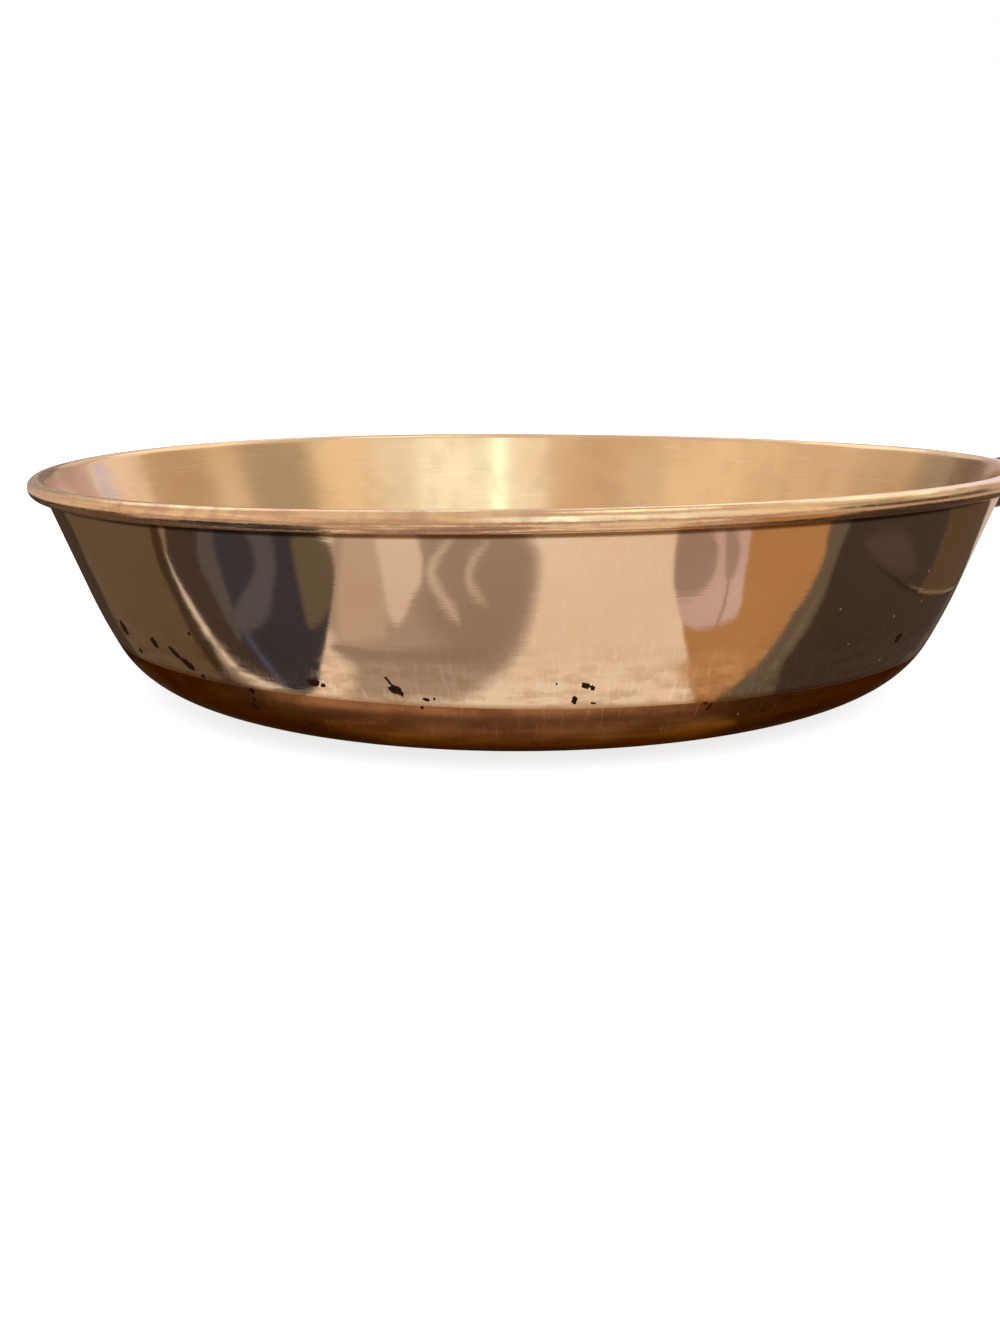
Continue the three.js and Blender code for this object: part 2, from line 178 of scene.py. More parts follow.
def relief(tree, *layers):
    """Bumps made of layers of marks, each with how high it stands in metres"""
    height = 0.0
    for marks, rise in layers:
        height = add_node(tree, "Math", {0: marks, 1: rise, 2: height}, operation="MULTIPLY_ADD")
    return add_node(tree, "Bump", {"Strength": 1.0, "Distance": 1.0, "Height": height})


STEEL_WARM = linear("#E9D1B3")
STEEL_ROSY = linear("#E0C4A4")
STEEL_HAZE = linear("#F3E2CB")
STEEL_SMUDGED = linear("#CFB391")
STEEL_STRAW = linear("#E8C9A0")
STEEL_BROWNED = linear("#DDB98D")
STEEL_SCORCHED = linear("#A2784F")
# Painted shade for the groove where the lip curls under towards the wall
GROOVE_PAINTED_SHADE = linear("#80603F")


def polished_stainless():
    # Drawn stainless sheet, wheel-polished and then scoured for years: nearly a mirror, warmed by a thin
    # stain, with brush marks round the pan, and smears and short strokes towards the copper. Real brush
    # marks are finer. These are as coarse as they need to be to show
    material, tree, shader = new_material("polished_stainless")
    skin = around_wall(tree)
    down = add_node(tree, "Attribute", output="Fac", attribute_name="down_wall")
    cloud = marks_of(tree, skin, (45, 45, 38))
    waves = marks_of(tree, skin, (22, 22, 38), 0)
    round_marks = marks_of(tree, skin, (10, 10, 0.6), 3)
    upright_marks = marks_of(tree, skin, (0.9, 0.9, 5), 4)
    smears = marks_of(tree, skin, (8, 8, 3), 5)
    low = add_node(tree, "MapRange", {VALUE: down, LOW: 22 * MM, HIGH: 40 * MM}, **SMOOTH)
    thick = add_node(tree, "MapRange", {VALUE: smears, LOW: 0.42, HIGH: 0.62}, **SMOOTH)
    smeared = add_node(tree, "Math", {0: low, 1: thick}, operation="MULTIPLY")
    plain = add_node(tree, "Math", {0: low, 1: 0.5, 2: 0.12}, operation="MULTIPLY_ADD")
    deep = add_node(tree, "MapRange", {VALUE: upright_marks, LOW: 0.48, HIGH: 0.75}, **SMOOTH)
    strokes = add_node(tree, "Math", {0: deep, 1: plain}, operation="MULTIPLY")
    colour = tinted(tree, STEEL_WARM, STEEL_ROSY, cloud, 0.35, 0.7)
    colour = add_node(tree, "Mix", {SHARE: smeared, FIRST: colour, SECOND: STEEL_SMUDGED}, **COLOURS)
    colour = add_node(tree, "Mix", {SHARE: strokes, FIRST: colour, SECOND: STEEL_HAZE}, **COLOURS)
    colour = tinted(tree, colour, STEEL_SCORCHED, down, COPPER_LINE - 1.7 * MM, COPPER_LINE, 0.8)
    rough = add_node(tree, "Math", {0: smeared, 1: 0.12, 2: 0.07}, operation="MULTIPLY_ADD")
    combing = add_node(tree, "MapRange", {VALUE: cloud, LOW: 0.4, HIGH: 0.65, AT_LOW: 0.3}, **SMOOTH)
    combed = add_node(tree, "Math", {0: round_marks, 1: combing}, operation="MULTIPLY")
    dents = ((waves, 0.05 * MM), (combed, 0.009 * MM), (smears, 0.014 * MM), (upright_marks, 0.0012 * MM))
    feed(tree, shader, {
        "Metallic": 1.0,
        # Painted shade: darker on the wall just under the lip's curl
        "Base Color": tinted(tree, colour, GROOVE_PAINTED_SHADE, down, 4.2 * MM, 3.5 * MM),
        "Roughness": add_node(tree, "Math", {0: strokes, 1: 0.06, 2: rough}, operation="MULTIPLY_ADD"),
        "Normal": relief(tree, *dents),
    })
    return material


def brushed_stainless():
    # The cooking face: the same sheet, scoured in circles, so its highlights smear up the wall. The marks
    # are coarser than real ones, so that they show
    material, tree, shader = new_material("brushed_stainless")
    skin = around_wall(tree)
    cloud = marks_of(tree, skin, (50, 50, 40))
    blots = marks_of(tree, skin, (11, 11, 14), 3)
    round_marks = marks_of(tree, skin, (20, 20, 0.7), 3)
    colour = tinted(tree, STEEL_STRAW, STEEL_BROWNED, cloud, 0.35, 0.7)
    colour = tinted(tree, colour, STEEL_SMUDGED, blots, 0.45, 0.75, 0.35)
    rough = {VALUE: blots, LOW: 0.3, HIGH: 0.7, AT_LOW: 0.16, AT_HIGH: 0.24}
    feed(tree, shader, {
        "Metallic": 1.0,
        "Base Color": tinted(tree, colour, STEEL_HAZE, round_marks, 0.55, 0.8, 0.35),
        "Roughness": add_node(tree, "MapRange", rough, **SMOOTH),
        "Anisotropic": 0.8,
        "Anisotropic Rotation": 0.25,
        "Tangent": add_node(tree, "Tangent", direction_type="RADIAL", axis="Z"),
        "Normal": relief(tree, (round_marks, 0.0015 * MM)),
    })
    return material


def rolled_stainless():
    # The rolled lip: worn smoother than the wall, with drawn lines along it and small knocks, and painted
    # shade where it curls under. The lines are coarser than real ones, so that they show
    material, tree, shader = new_material("rolled_stainless")
    skin = around_wall(tree)
    down = add_node(tree, "Attribute", output="Fac", attribute_name="down_wall")
    lines = marks_of(tree, skin, (16, 16, 0.4), 3)
    wear = marks_of(tree, skin, (35, 35, 35), 0)
    knocks = marks_of(tree, skin, (3.5, 3.5, 1.2), 3)
    worn = add_node(tree, "MapRange", {VALUE: wear, LOW: 0.45, HIGH: 0.6, AT_LOW: 0.2}, **SMOOTH)
    knocked = add_node(tree, "Math", {0: knocks, 1: worn}, operation="MULTIPLY")
    colour = tinted(tree, STEEL_STRAW, linear("#D8B08A"), lines, 0.4, 0.65)
    colour = tinted(tree, colour, linear("#C09C88"), knocked, 0.4, 0.7, 0.6)
    rough = {VALUE: knocks, LOW: 0.4, HIGH: 0.7, AT_LOW: 0.14, AT_HIGH: 0.28}
    feed(tree, shader, {
        "Metallic": 1.0,
        # Painted shade: darker on the lip where it curls under towards the wall
        "Base Color": tinted(tree, colour, GROOVE_PAINTED_SHADE, down, 1.9 * MM, 2.8 * MM),
        "Roughness": add_node(tree, "MapRange", rough, **SMOOTH),
        "Normal": relief(tree, (knocked, 0.08 * MM), (lines, 0.006 * MM)),
    })
    return material


def stained_copper():
    # Plated copper that has been over a flame: brown where it has oxidised, rubbed brighter in bands and
    # in a few slanting scratches, and darker in patches towards the flat of the base. Its grit is coarser
    # than a real plating's, so that it shows
    material, tree, shader = new_material("stained_copper")
    skin = around_wall(tree)
    place = add_node(tree, "TexCoord", output="Object")
    height = add_node(tree, "SeparateXYZ", {0: place}, "Z")
    blotches = marks_of(tree, place, (15, 15, 7), 4)
    bands = marks_of(tree, skin, (26, 26, 2.4), 4)
    scratches = marks_of(tree, skin, (0.9, 0.9, 11), 3)
    grit = marks_of(tree, place, (0.8, 0.8, 0.8), 2)
    colour = tinted(tree, linear("#9E6C46"), linear("#7E5234"), blotches, 0.36, 0.64)
    colour = tinted(tree, colour, linear("#B27E54"), bands, 0.45, 0.72, 0.35)
    colour = tinted(tree, colour, linear("#C4966C"), scratches, 0.56, 0.78, 0.4)
    # Darker in patches towards the flat of the base
    below = {VALUE: height, LOW: 0.5 * MM, HIGH: 5 * MM, AT_LOW: 1, AT_HIGH: 0}
    patchy = {VALUE: blotches, LOW: 0.2, HIGH: 0.6, AT_LOW: 0.35, AT_HIGH: 0.75}
    low_down = add_node(tree, "MapRange", below, **SMOOTH)
    in_patches = add_node(tree, "MapRange", patchy, **SMOOTH)
    darker_low = add_node(tree, "Math", {0: low_down, 1: in_patches}, operation="MULTIPLY")
    colour = add_node(tree, "Mix", {SHARE: darker_low, FIRST: colour, SECOND: linear("#422A18")}, **COLOURS)
    rough = {VALUE: blotches, LOW: 0.3, HIGH: 0.7, AT_LOW: 0.2, AT_HIGH: 0.34}
    feed(tree, shader, {
        "Metallic": 1.0,
        "Base Color": colour,
        "Roughness": add_node(tree, "MapRange", rough, **SMOOTH),
        "Specular Tint": linear("#B8986C"),
        "Normal": relief(tree, (grit, 0.012 * MM)),
    })
    return material


def burnt_grease():
    # Flecks of grease baked on to the steel: nearly black crusts with a dull gloss
    material, tree, shader = new_material("burnt_grease")
    crust = marks_of(tree, add_node(tree, "TexCoord", output="Object"), (0.5, 0.5, 0.5), 3)
    feed(tree, shader, {
        "Base Color": tinted(tree, linear("#1C0B04"), linear("#3E1C0A"), crust, 0.4, 0.7),
        "Roughness": 0.8,
        "Specular IOR Level": 0.1,
        "Normal": relief(tree, (crust, 0.05 * MM)),
    })
    return material


def lime_scale():
    # Specks of dried hard water: chalky, off-white
    material, tree, shader = new_material("lime_scale")
    chalk = marks_of(tree, add_node(tree, "TexCoord", output="Object"), (0.3, 0.3, 0.3))
    feed(tree, shader, {
        "Base Color": tinted(tree, linear("#8A7656"), linear("#66543A"), chalk, 0.4, 0.7),
        "Roughness": 0.8,
    })
    return material


def pressed_stainless():
    # Pressed stainless strip: satin, with lines drawn along the handle, coarser than real ones to show
    material, tree, shader = new_material("pressed_stainless")
    place = add_node(tree, "TexCoord", output="Object")
    lines = marks_of(tree, place, (14, 0.4, 0.4), 3)
    cloud = marks_of(tree, place, (18, 18, 18))
    rough = {VALUE: cloud, LOW: 0.3, HIGH: 0.7, AT_LOW: 0.2, AT_HIGH: 0.34}
    feed(tree, shader, {
        "Metallic": 1.0,
        "Base Color": tinted(tree, linear("#D9CCB8"), linear("#BFAE97"), lines, 0.35, 0.7),
        "Roughness": add_node(tree, "MapRange", rough, **SMOOTH),
        "Normal": relief(tree, (lines, 0.002 * MM)),
    })
    return material


def moulded_phenolic():
    # Compression-moulded phenolic: black with a deep gloss that washing has dulled in places
    material, tree, shader = new_material("moulded_phenolic")
    place = add_node(tree, "TexCoord", output="Object")
    wear = marks_of(tree, place, (16, 10, 10), 3)
    peel = marks_of(tree, place, (1.4, 1.4, 1.4), 1)
    rough = {VALUE: wear, LOW: 0.35, HIGH: 0.7, AT_LOW: 0.2, AT_HIGH: 0.42}
    feed(tree, shader, {
        "Base Color": tinted(tree, linear("#14110F"), linear("#2A231E"), wear, 0.4, 0.75),
        "Roughness": add_node(tree, "MapRange", rough, **SMOOTH),
        "Normal": relief(tree, (peel, 0.012 * MM)),
    })
    return material


def zinc_plated_steel():
    # Zinc-plated screws, nuts and pin: dull grey with a faint yellow bloom
    material, tree, shader = new_material("zinc_plated_steel")
    bloom = marks_of(tree, add_node(tree, "TexCoord", output="Object"), (2.5, 2.5, 2.5), 3)
    rough = {VALUE: bloom, LOW: 0.3, HIGH: 0.7, AT_LOW: 0.32, AT_HIGH: 0.48}
    feed(tree, shader, {
        "Metallic": 1.0,
        "Base Color": tinted(tree, linear("#B9B7B0"), linear("#948C79"), bloom, 0.35, 0.7),
        "Roughness": add_node(tree, "MapRange", rough, **SMOOTH),
        "Normal": relief(tree, (bloom, 0.01 * MM)),
    })
    return material


# Modelling

def deselect():
    bpy.ops.object.select_all(action="DESELECT")


def select_only(piece):
    deselect()
    piece.select_set(True)
    bpy.context.view_layer.objects.active = piece


def settle():
    """Takes the active piece's place, turn and size into its mesh"""
    bpy.ops.object.transform_apply(location=True, rotation=True, scale=True)


def start_line(name, points):
    """A new piece in edit mode: one line of edges through the points"""
    points = [Vector(point) for point in points]
    deselect()
    bpy.ops.mesh.primitive_plane_add(size=MM)
    piece = bpy.context.object
    piece.name = name
    bpy.ops.object.mode_set(mode="EDIT")
    bpy.ops.mesh.select_all(action="SELECT")
    bpy.ops.mesh.merge(type="CENTER")
    bpy.ops.transform.translate(value=points[0])
    for here, there in zip(points, points[1:]):
        bpy.ops.mesh.extrude_vertices_move(TRANSFORM_OT_translate={"value": there - here})
    bpy.ops.mesh.select_all(action="SELECT")
    return piece


def turned(name, points, steps, axis=(0, 0, 1)):
    """A line turned all the way round an axis through the origin, with its seam and poles closed"""
    piece = start_line(name, points)
    bpy.ops.mesh.spin(steps=steps, angle=2 * pi, center=(0, 0, 0), axis=axis)
    close_up()
    return piece


def close_up():
    bpy.ops.mesh.select_all(action="SELECT")
    bpy.ops.mesh.remove_doubles(threshold=SEAM_GAP)
    bpy.ops.mesh.normals_make_consistent(inside=False)
    bpy.ops.object.mode_set(mode="OBJECT")


def smooth(piece):
    select_only(piece)
    bpy.ops.object.shade_smooth_by_angle(angle=radians(30))


def dress(piece, node, body, slot, *materials):
    """The piece stands for the node, rides on its body and wears the materials"""
    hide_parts(node)
    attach(piece, body)
    piece.data.materials.clear()
    for material in materials:
        piece.data.materials.append(material)


# The pan's section: how far down the wall from the lip, and how far out from its outer face

GROOVE_END = 5.6 * MM
LIP_BORE = LIP_RADIUS - SHEET
LIP_CENTRE = (RIM_RADIUS - LIP_RADIUS, PAN_HEIGHT - LIP_RADIUS)
LIP_LOW = PAN_HEIGHT - 2 * LIP_RADIUS
WALL_CURVES = (
    (FOOT_RADIUS, FOOT_LEAN),
    (KNUCKLE_RADIUS, KNUCKLE_LEAN),
    (BASE_CURVE_RADIUS, pi / 2),
)
CURVES_HEIGHT = (
    FOOT_RADIUS * (sin(FOOT_LEAN) - sin(WALL_LEAN))
    + KNUCKLE_RADIUS * (sin(KNUCKLE_LEAN) - sin(FOOT_LEAN))
    + BASE_CURVE_RADIUS * (1 - sin(KNUCKLE_LEAN))
)
STRAIGHT_LENGTH = (LIP_CENTRE[1] + LIP_BORE * sin(WALL_LEAN) - CURVES_HEIGHT) / cos(WALL_LEAN)
FOOT_END = STRAIGHT_LENGTH + FOOT_RADIUS * (FOOT_LEAN - WALL_LEAN)
KNUCKLE_END = FOOT_END + KNUCKLE_RADIUS * (KNUCKLE_LEAN - FOOT_LEAN)
WALL_LENGTH = KNUCKLE_END + BASE_CURVE_RADIUS * (pi / 2 - KNUCKLE_LEAN)


def wall_face(distance):
    """Radius, height and lean of the wall's outer face, this far down it"""
    straight = min(distance, STRAIGHT_LENGTH)
    radius = LIP_CENTRE[0] - LIP_BORE * cos(WALL_LEAN) - straight * sin(WALL_LEAN)
    height = LIP_CENTRE[1] + LIP_BORE * sin(WALL_LEAN) - straight * cos(WALL_LEAN)
    lean = WALL_LEAN
    left = distance - straight
    for curve, last_lean in WALL_CURVES:
        next_lean = lean + min(left / curve, last_lean - lean)
        radius -= curve * (cos(lean) - cos(next_lean))
        height -= curve * (sin(next_lean) - sin(lean))
        left -= curve * (next_lean - lean)
        lean = next_lean
    return radius, height, lean


def wall_point(distance, outwards=0.0):
    radius, height, lean = wall_face(distance)
    return Vector((radius + outwards * cos(lean), 0, height - outwards * sin(lean)))


def spread(first, last, longest):
    """Numbers from first to last, no further apart than longest"""
    count = max(1, round(abs(last - first) / longest + 0.499))
    return [first + (last - first) * i / count for i in range(count + 1)]


def curve_through(marks, closed=False, step=0.1):
    """Points on a smooth curve that passes through the marks"""
    count = len(marks)
    points = []
    for i in range(count if closed else count - 1):
        here, there = marks[i], marks[(i + 1) % count]
        before = marks[i - 1] if closed or i else here
        after = marks[(i + 2) % count] if closed or i + 2 < count else there
        leave, arrive = (there - before) / 2, (after - here) / 2
        for share in spread(0, 1, step)[:-1]:
            square, cube = share ** 2, share ** 3
            points.append(
                here * (2 * cube - 3 * square + 1)
                + leave * (cube - 2 * square + share)
                + there * (3 * square - 2 * cube)
                + arrive * (cube - square)
            )
    return points if closed else [*points, marks[-1]]


def down_wall(first, last, outwards=0.0):
    """Points down or up the wall between two distances, closer together where it bends"""
    marks = [0, GROOVE_END, STRAIGHT_LENGTH, FOOT_END, KNUCKLE_END, WALL_LENGTH]
    steps = [0.7 * MM, 9 * MM, 3 * MM, 0.9 * MM, 2 * MM]
    low, high = sorted((first, last))
    distances = []
    for start, end, step in zip(marks, marks[1:], steps):
        if end > low and start < high:
            distances += spread(max(start, low), min(end, high), step)
    distances = sorted({round(distance, 7) for distance in distances}, reverse=first > last)
    return [wall_point(distance, outwards) for distance in distances]


def lip_arc(radius, first, last):
    """Points round the lip's own centre, anticlockwise angles from outwards"""
    return [
        (LIP_CENTRE[0] + radius * cos(angle), 0, LIP_CENTRE[1] + radius * sin(angle))
        for angle in spread(first, last, ARC_STEP)
    ]


def pan_section():
    wall_side = pi - WALL_LEAN
    free_end = -pi + WALL_LEAN + LIP_GAP
    skin_depth = COPPER_THICKNESS + SKIN_GAP
    edge = COPPER_LINE - SEAM_ROUND
    return [
        (0, 0, skin_depth),
        *down_wall(WALL_LENGTH, COPPER_LINE, -skin_depth),
        wall_point(COPPER_LINE, -SEAM_ROUND),
        *down_wall(edge, 0),
        *lip_arc(LIP_BORE, wall_side, free_end)[1:],
        *lip_arc(LIP_RADIUS, free_end, wall_side),
        *down_wall(0, WALL_LENGTH, -SHEET)[1:],
        (0, 0, SHEET),
    ]


def copper_section():
    edge = COPPER_LINE + SEAM_ROUND
    inner_edge = COPPER_LINE + SEAM_ROUND / 3
    return [
        (0, 0, 0),
        *down_wall(WALL_LENGTH, edge),
        wall_point(inner_edge, -SEAM_ROUND),
        *down_wall(inner_edge, WALL_LENGTH, -COPPER_THICKNESS),
        (0, 0, COPPER_THICKNESS),
    ]


def wall_place(radius, height):
    """How far down the wall a point is, and how far out from its face"""
    best = None
    for distance in spread(0, WALL_LENGTH, 0.1 * MM):
        face_radius, face_height, lean = wall_face(distance)
        across = (radius - face_radius) * cos(lean) - (height - face_height) * sin(lean)
        along = (radius - face_radius) * sin(lean) + (height - face_height) * cos(lean)
        if best is None or abs(along) < best[0]:
            best = (abs(along), distance - along, across)
    return best[1], best[2]


def mark_down_wall(piece):
    """Gives each point its distance down the wall, and slides those near the copper's edge along the wall,
    so that the edge runs lower on one side and dips at both"""
    down_marks = piece.data.attributes.new("down_wall", "FLOAT", "POINT")
    places = {}
    for vertex, mark in zip(piece.data.vertices, down_marks.data):
        radius = hypot(vertex.co.x, vertex.co.y)
        key = (round(radius, 6), round(vertex.co.z, 6))
        if key not in places:
            places[key] = wall_place(*key)
        distance, outwards = places[key]
        mark.value = distance
        if radius < wall_face(WALL_LENGTH)[0] or vertex.co.z > LIP_LOW:
            continue
        nearness = max(0.0, 1 - abs(distance - COPPER_LINE) / COPPER_LINE_SPREAD)
        azimuth = atan2(vertex.co.y, vertex.co.x) + HANDLE_TURN
        dip = COPPER_LINE_TILT * cos(azimuth) + COPPER_LINE_DIP * cos(azimuth) ** 4
        place = wall_point(distance + dip * nearness * nearness * (3 - 2 * nearness), outwards)
        vertex.co.x *= place.x / radius
        vertex.co.y *= place.x / radius
        vertex.co.z = place.z


# The lip isn't quite level: two waves round it, as the photograph shows
TWO_WAVE, TWO_WAVE_TURN = 0.668 * MM, 3.343
THREE_WAVE, THREE_WAVE_TURN = 0.156 * MM, 0.243


def warp_lip(piece):
    for vertex in piece.data.vertices:
        azimuth = atan2(vertex.co.y, vertex.co.x) + HANDLE_TURN
        share = min(max(vertex.co.z / PAN_HEIGHT, 0), 1)
        two = TWO_WAVE * sin(2 * azimuth + TWO_WAVE_TURN)
        three = THREE_WAVE * sin(3 * azimuth + THREE_WAVE_TURN)
        vertex.co.z += share * (two + three)


# How far a face of the pan leans in or up where it belongs to the cooking face
FACES_IN = -0.1
FACES_UP = 0.5


def make_pan():
    pan = turned("pan", pan_section(), PAN_STEPS)
    smooth(pan)
    finishes = (polished_stainless(), brushed_stainless(), rolled_stainless())
    dress(pan, "pan_body", "skillet", "polished_stainless", *finishes)
    for face in pan.data.polygons:
        spoke = Vector((face.center.x, face.center.y, 0))
        if face.center.z > LIP_LOW and spoke.length > wall_face(0)[0]:
            face.material_index = 2
        elif face.normal.dot(spoke.normalized()) < FACES_IN or face.normal.z > FACES_UP:
            face.material_index = 1
    mark_down_wall(pan)
    warp_lip(pan)


def make_copper():
    copper = turned("copper_skin", copper_section(), PAN_STEPS)
    smooth(copper)
    dress(copper, "copper_bottom", "skillet", "copper", stained_copper())
    mark_down_wall(copper)
    warp_lip(copper)


make_pan()
make_copper()


# Flecks of burnt grease and specks of lime: azimuth in the photograph's view, distance down the wall,
# length, width and the turn of the length from straight down towards the right
FLECKS = (
    (217.4, 32.8, 4.4, 3.2, 10),
    (224.9, 33.8, 3.0, 2.2, 12),
    (219.3, 38.4, 1.4, 1.6, 0),
    (228.6, 35.2, 4.0, 1.6, 42),
    (230.3, 37.8, 4.2, 2.2, 50),
    (233.1, 29.0, 0.9, 0.8, 0),
    (232.2, 40.3, 1.0, 1.2, 0),
    (239.4, 41.9, 1.6, 1.6, 0),
    (239.3, 44.2, 1.4, 0.7, 20),
    (238.8, 46.8, 1.8, 1.8, 0),
    (248.4, 37.3, 1.7, 2.6, 0),
    (249.4, 37.8, 1.0, 1.2, 40),
    (257.3, 37.6, 2.7, 2.0, 45),
    (256.7, 35.3, 2.4, 0.45, 30),
    (257.9, 38.6, 1.4, 0.8, 10),
    (260.4, 39.8, 1.5, 0.8, 70),
    (261.2, 39.5, 0.6, 0.5, 0),
    (259.8, 41.9, 0.8, 0.6, 0),
    (275.3, 39.7, 2.0, 1.2, -12),
    (276.3, 36.3, 1.9, 1.4, 70),
    (277.0, 36.9, 1.3, 1.0, 20),
    (277.2, 40.7, 1.1, 0.4, 80),
    (273.4, 35.6, 0.6, 0.4, 0),
    (290.1, 43.9, 2.4, 0.7, -25),
    (289.5, 42.8, 1.0, 0.6, 70),
    (316.6, 34.6, 2.4, 2.4, -8),
)
SPECKS = (
    (316.9, 18.2, 0.5, 0.6, 0),
    (318.5, 26.0, 0.5, 0.5, 0),
    (313.1, 28.0, 0.6, 0.4, 0),
    (303.1, 23.4, 0.4, 0.4, 0),
    (306.4, 32.6, 0.4, 0.4, 0),
    (314.6, 39.7, 0.4, 0.5, 0),
    (294.2, 47.2, 0.5, 0.4, 0),
)
FLECK_HEIGHT = 0.1 * MM
FLECK_ROOT = 0.04 * MM
FLECK_CORNERS = 16
FLECK_RAGGED = (0.8, 1.35)
FLECK_TOP = 0.85


def on_wall(azimuth, distance, outwards):
    """A place on the wall, at an azimuth in the photograph's view"""
    return Matrix.Rotation(azimuth - HANDLE_TURN, 3, "Z") @ wall_point(distance, outwards)


def make_flecks(name, places, material, chance):
    flecks = []
    for azimuth, distance, length, width, turn in places:
        deselect()
        bpy.ops.mesh.primitive_cylinder_add(vertices=FLECK_CORNERS, radius=0.5, depth=2)
        fleck = bpy.context.object
        ragged = [chance.uniform(*FLECK_RAGGED) for _ in range(FLECK_CORNERS)]
        slant = Matrix.Rotation(radians(turn), 2)
        for vertex in fleck.data.vertices:
            corner = round(atan2(vertex.co.y, vertex.co.x) / (2 * pi) * FLECK_CORNERS) % FLECK_CORNERS
            raised = vertex.co.z > 0
            size = ragged[corner] * (FLECK_TOP if raised else 1.0) * MM
            down, along = slant @ Vector((vertex.co.x * length * size, vertex.co.y * width * size))
            reach = distance * MM + down
            swing = radians(azimuth) + along / wall_face(reach)[0]
            vertex.co = on_wall(swing, reach, FLECK_HEIGHT if raised else -FLECK_ROOT)
        flecks.append(fleck)
    select_only(flecks[0])
    for fleck in flecks:
        fleck.select_set(True)
    bpy.ops.object.join()
    crust = bpy.context.object
    crust.name = name
    bpy.ops.object.mode_set(mode="EDIT")
    bpy.ops.mesh.select_all(action="SELECT")
    bpy.ops.mesh.normals_make_consistent(inside=False)
    bpy.ops.object.mode_set(mode="OBJECT")
    crust.data.materials.clear()
    crust.data.materials.append(material)
    warp_lip(crust)
    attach(crust, "skillet")


make_flecks("grease_flecks", FLECKS, burnt_grease(), Random(7))
make_flecks("lime_specks", SPECKS, lime_scale(), Random(3))


# Driving dimensions of the bracket
CLEARANCE = 0.3 * MM
SADDLE_SHEET = 1.5 * MM
SADDLE_WIDTH = 46 * MM
SADDLE_FOOT_WIDTH = 26 * MM
SADDLE_HEIGHT = 23 * MM
SADDLE_CORNER = 5 * MM
SADDLE_BELOW_LIP = 1.6 * MM
HANDLE_RISE = radians(8)
TANG_WIDTH = 15 * MM
TANG_THICKNESS = 2.5 * MM
TANG_SIDE_SHEET = 2 * MM
TANG_SIDE_DEPTH = 8 * MM
TANG_ROOT_DEPTH = TANG_SIDE_DEPTH * 1.5
WELD_RADIUS = 2.2 * MM
WELD_DEPTH = 0.25 * MM
WELD_PLACES = ((12 * MM, 14 * MM), (22 * MM, 11.5 * MM))
SADDLE_SWEEP = radians(30)
SADDLE_STEPS = 48
SHIELD_REACH = RIM_RADIUS * 1.2

# Driving dimensions of the handle, measured along it from the wall
GUARD_START = 28 * MM
GUARD_LENGTH = 10 * MM
GUARD_RADIUS = 11 * MM
GUARD_SHEET = 0.9 * MM
GUARD_BEND = 1.6 * GUARD_SHEET
GRIP_LENGTH = 160 * MM
GRIP_NECK_RADIUS = 11.2 * MM
GRIP_PALM_RADIUS = 13.6 * MM
GRIP_TAIL_RADIUS = 12.2 * MM
GRIP_END_ROUND = 5 * MM
GRIP_FLATNESS = 0.68
PARTING_LINE = 0.3 * MM

# Driving dimensions of the screws, the pin and the ring
SCREW_RADIUS = 1.9 * MM
SCREW_HEAD_RADIUS = 3.5 * MM
SCREW_HEAD_HEIGHT = 2.2 * MM
SCREW_DOME = 0.5 * MM
SCREW_CHAMFER = 0.3 * MM
SCREW_SLOT_WIDTH = 0.9 * MM
SCREW_SLOT_DEPTH = 1 * MM
SCREW_SEAT = 5 * MM
NUT_ACROSS_FLATS = 7 * MM
NUT_HEIGHT = 3 * MM
SCREW_INSET = 40 * MM
PIN_RADIUS = 1.8 * MM
PIN_LENGTH = 18 * MM
PIN_CHAMFER = 0.4 * MM
PIN_TO_GRIP_END = 5.5 * MM
PIN_CLEARANCE = 0.2 * MM
BARREL_RADIUS = 3.4 * MM
BARREL_LENGTH = 9 * MM
RING_RADIUS = 13.5 * MM
RING_WIRE_RADIUS = 1.7 * MM
RING_STEM_WIDTH = 6 * MM
RING_STEM_SPLAY = 1.3
RING_STEM_THICKNESS = 1.86 * RING_WIRE_RADIUS
RING_SWING_CLEARANCE = 0.9 * MM
NOTCH_SIDE_CLEARANCE = 0.6 * MM
NOTCH_BACK_CLEARANCE = 1.2 * MM

# How far the edges of each piece are rounded
BRACKET_ROUND = 0.2 * MM
GRIP_ROUND = 0.25 * MM
SCREW_ROUND = 0.1 * MM
RING_ROUND = 0.3 * MM

# Places that follow from them
SADDLE_TOP = LIP_LOW - SADDLE_BELOW_LIP
SADDLE_FOOT = SADDLE_TOP - SADDLE_HEIGHT
ROOT_HEIGHT = (SADDLE_TOP + SADDLE_FOOT) / 2
ROOT_DISTANCE = (LIP_CENTRE[1] + LIP_BORE * sin(WALL_LEAN) - ROOT_HEIGHT) / cos(WALL_LEAN)
HANDLE_PLACE = Matrix.Translation(wall_point(ROOT_DISTANCE)) @ Matrix.Rotation(-HANDLE_RISE, 4, "Y")
GUARD_END = GUARD_START + GUARD_LENGTH
GRIP_START = GUARD_START + GUARD_SHEET + CLEARANCE
GRIP_SHOULDER = GUARD_END + CLEARANCE
GRIP_END = GRIP_START + GRIP_LENGTH
TAIL_START = GRIP_END - GRIP_END_ROUND
PIN_PLACE = GRIP_END - PIN_TO_GRIP_END
NOTCH_BACK = PIN_PLACE - BARREL_RADIUS - NOTCH_BACK_CLEARANCE
FRONT_SCREW = GRIP_START + SCREW_INSET
REAR_SCREW = NOTCH_BACK - SCREW_INSET
TANG_END = REAR_SCREW + TANG_WIDTH
HALF_TANG = TANG_THICKNESS / 2
BIG = 60 * MM
ACROSS_HANDLE = (pi / 2, 0, 0)

# How far apart points may be that count as one: as a cut leaves them, and before edges are rounded
CUT_GAP = 0.005 * MM
EDGE_GAP = 0.03 * MM


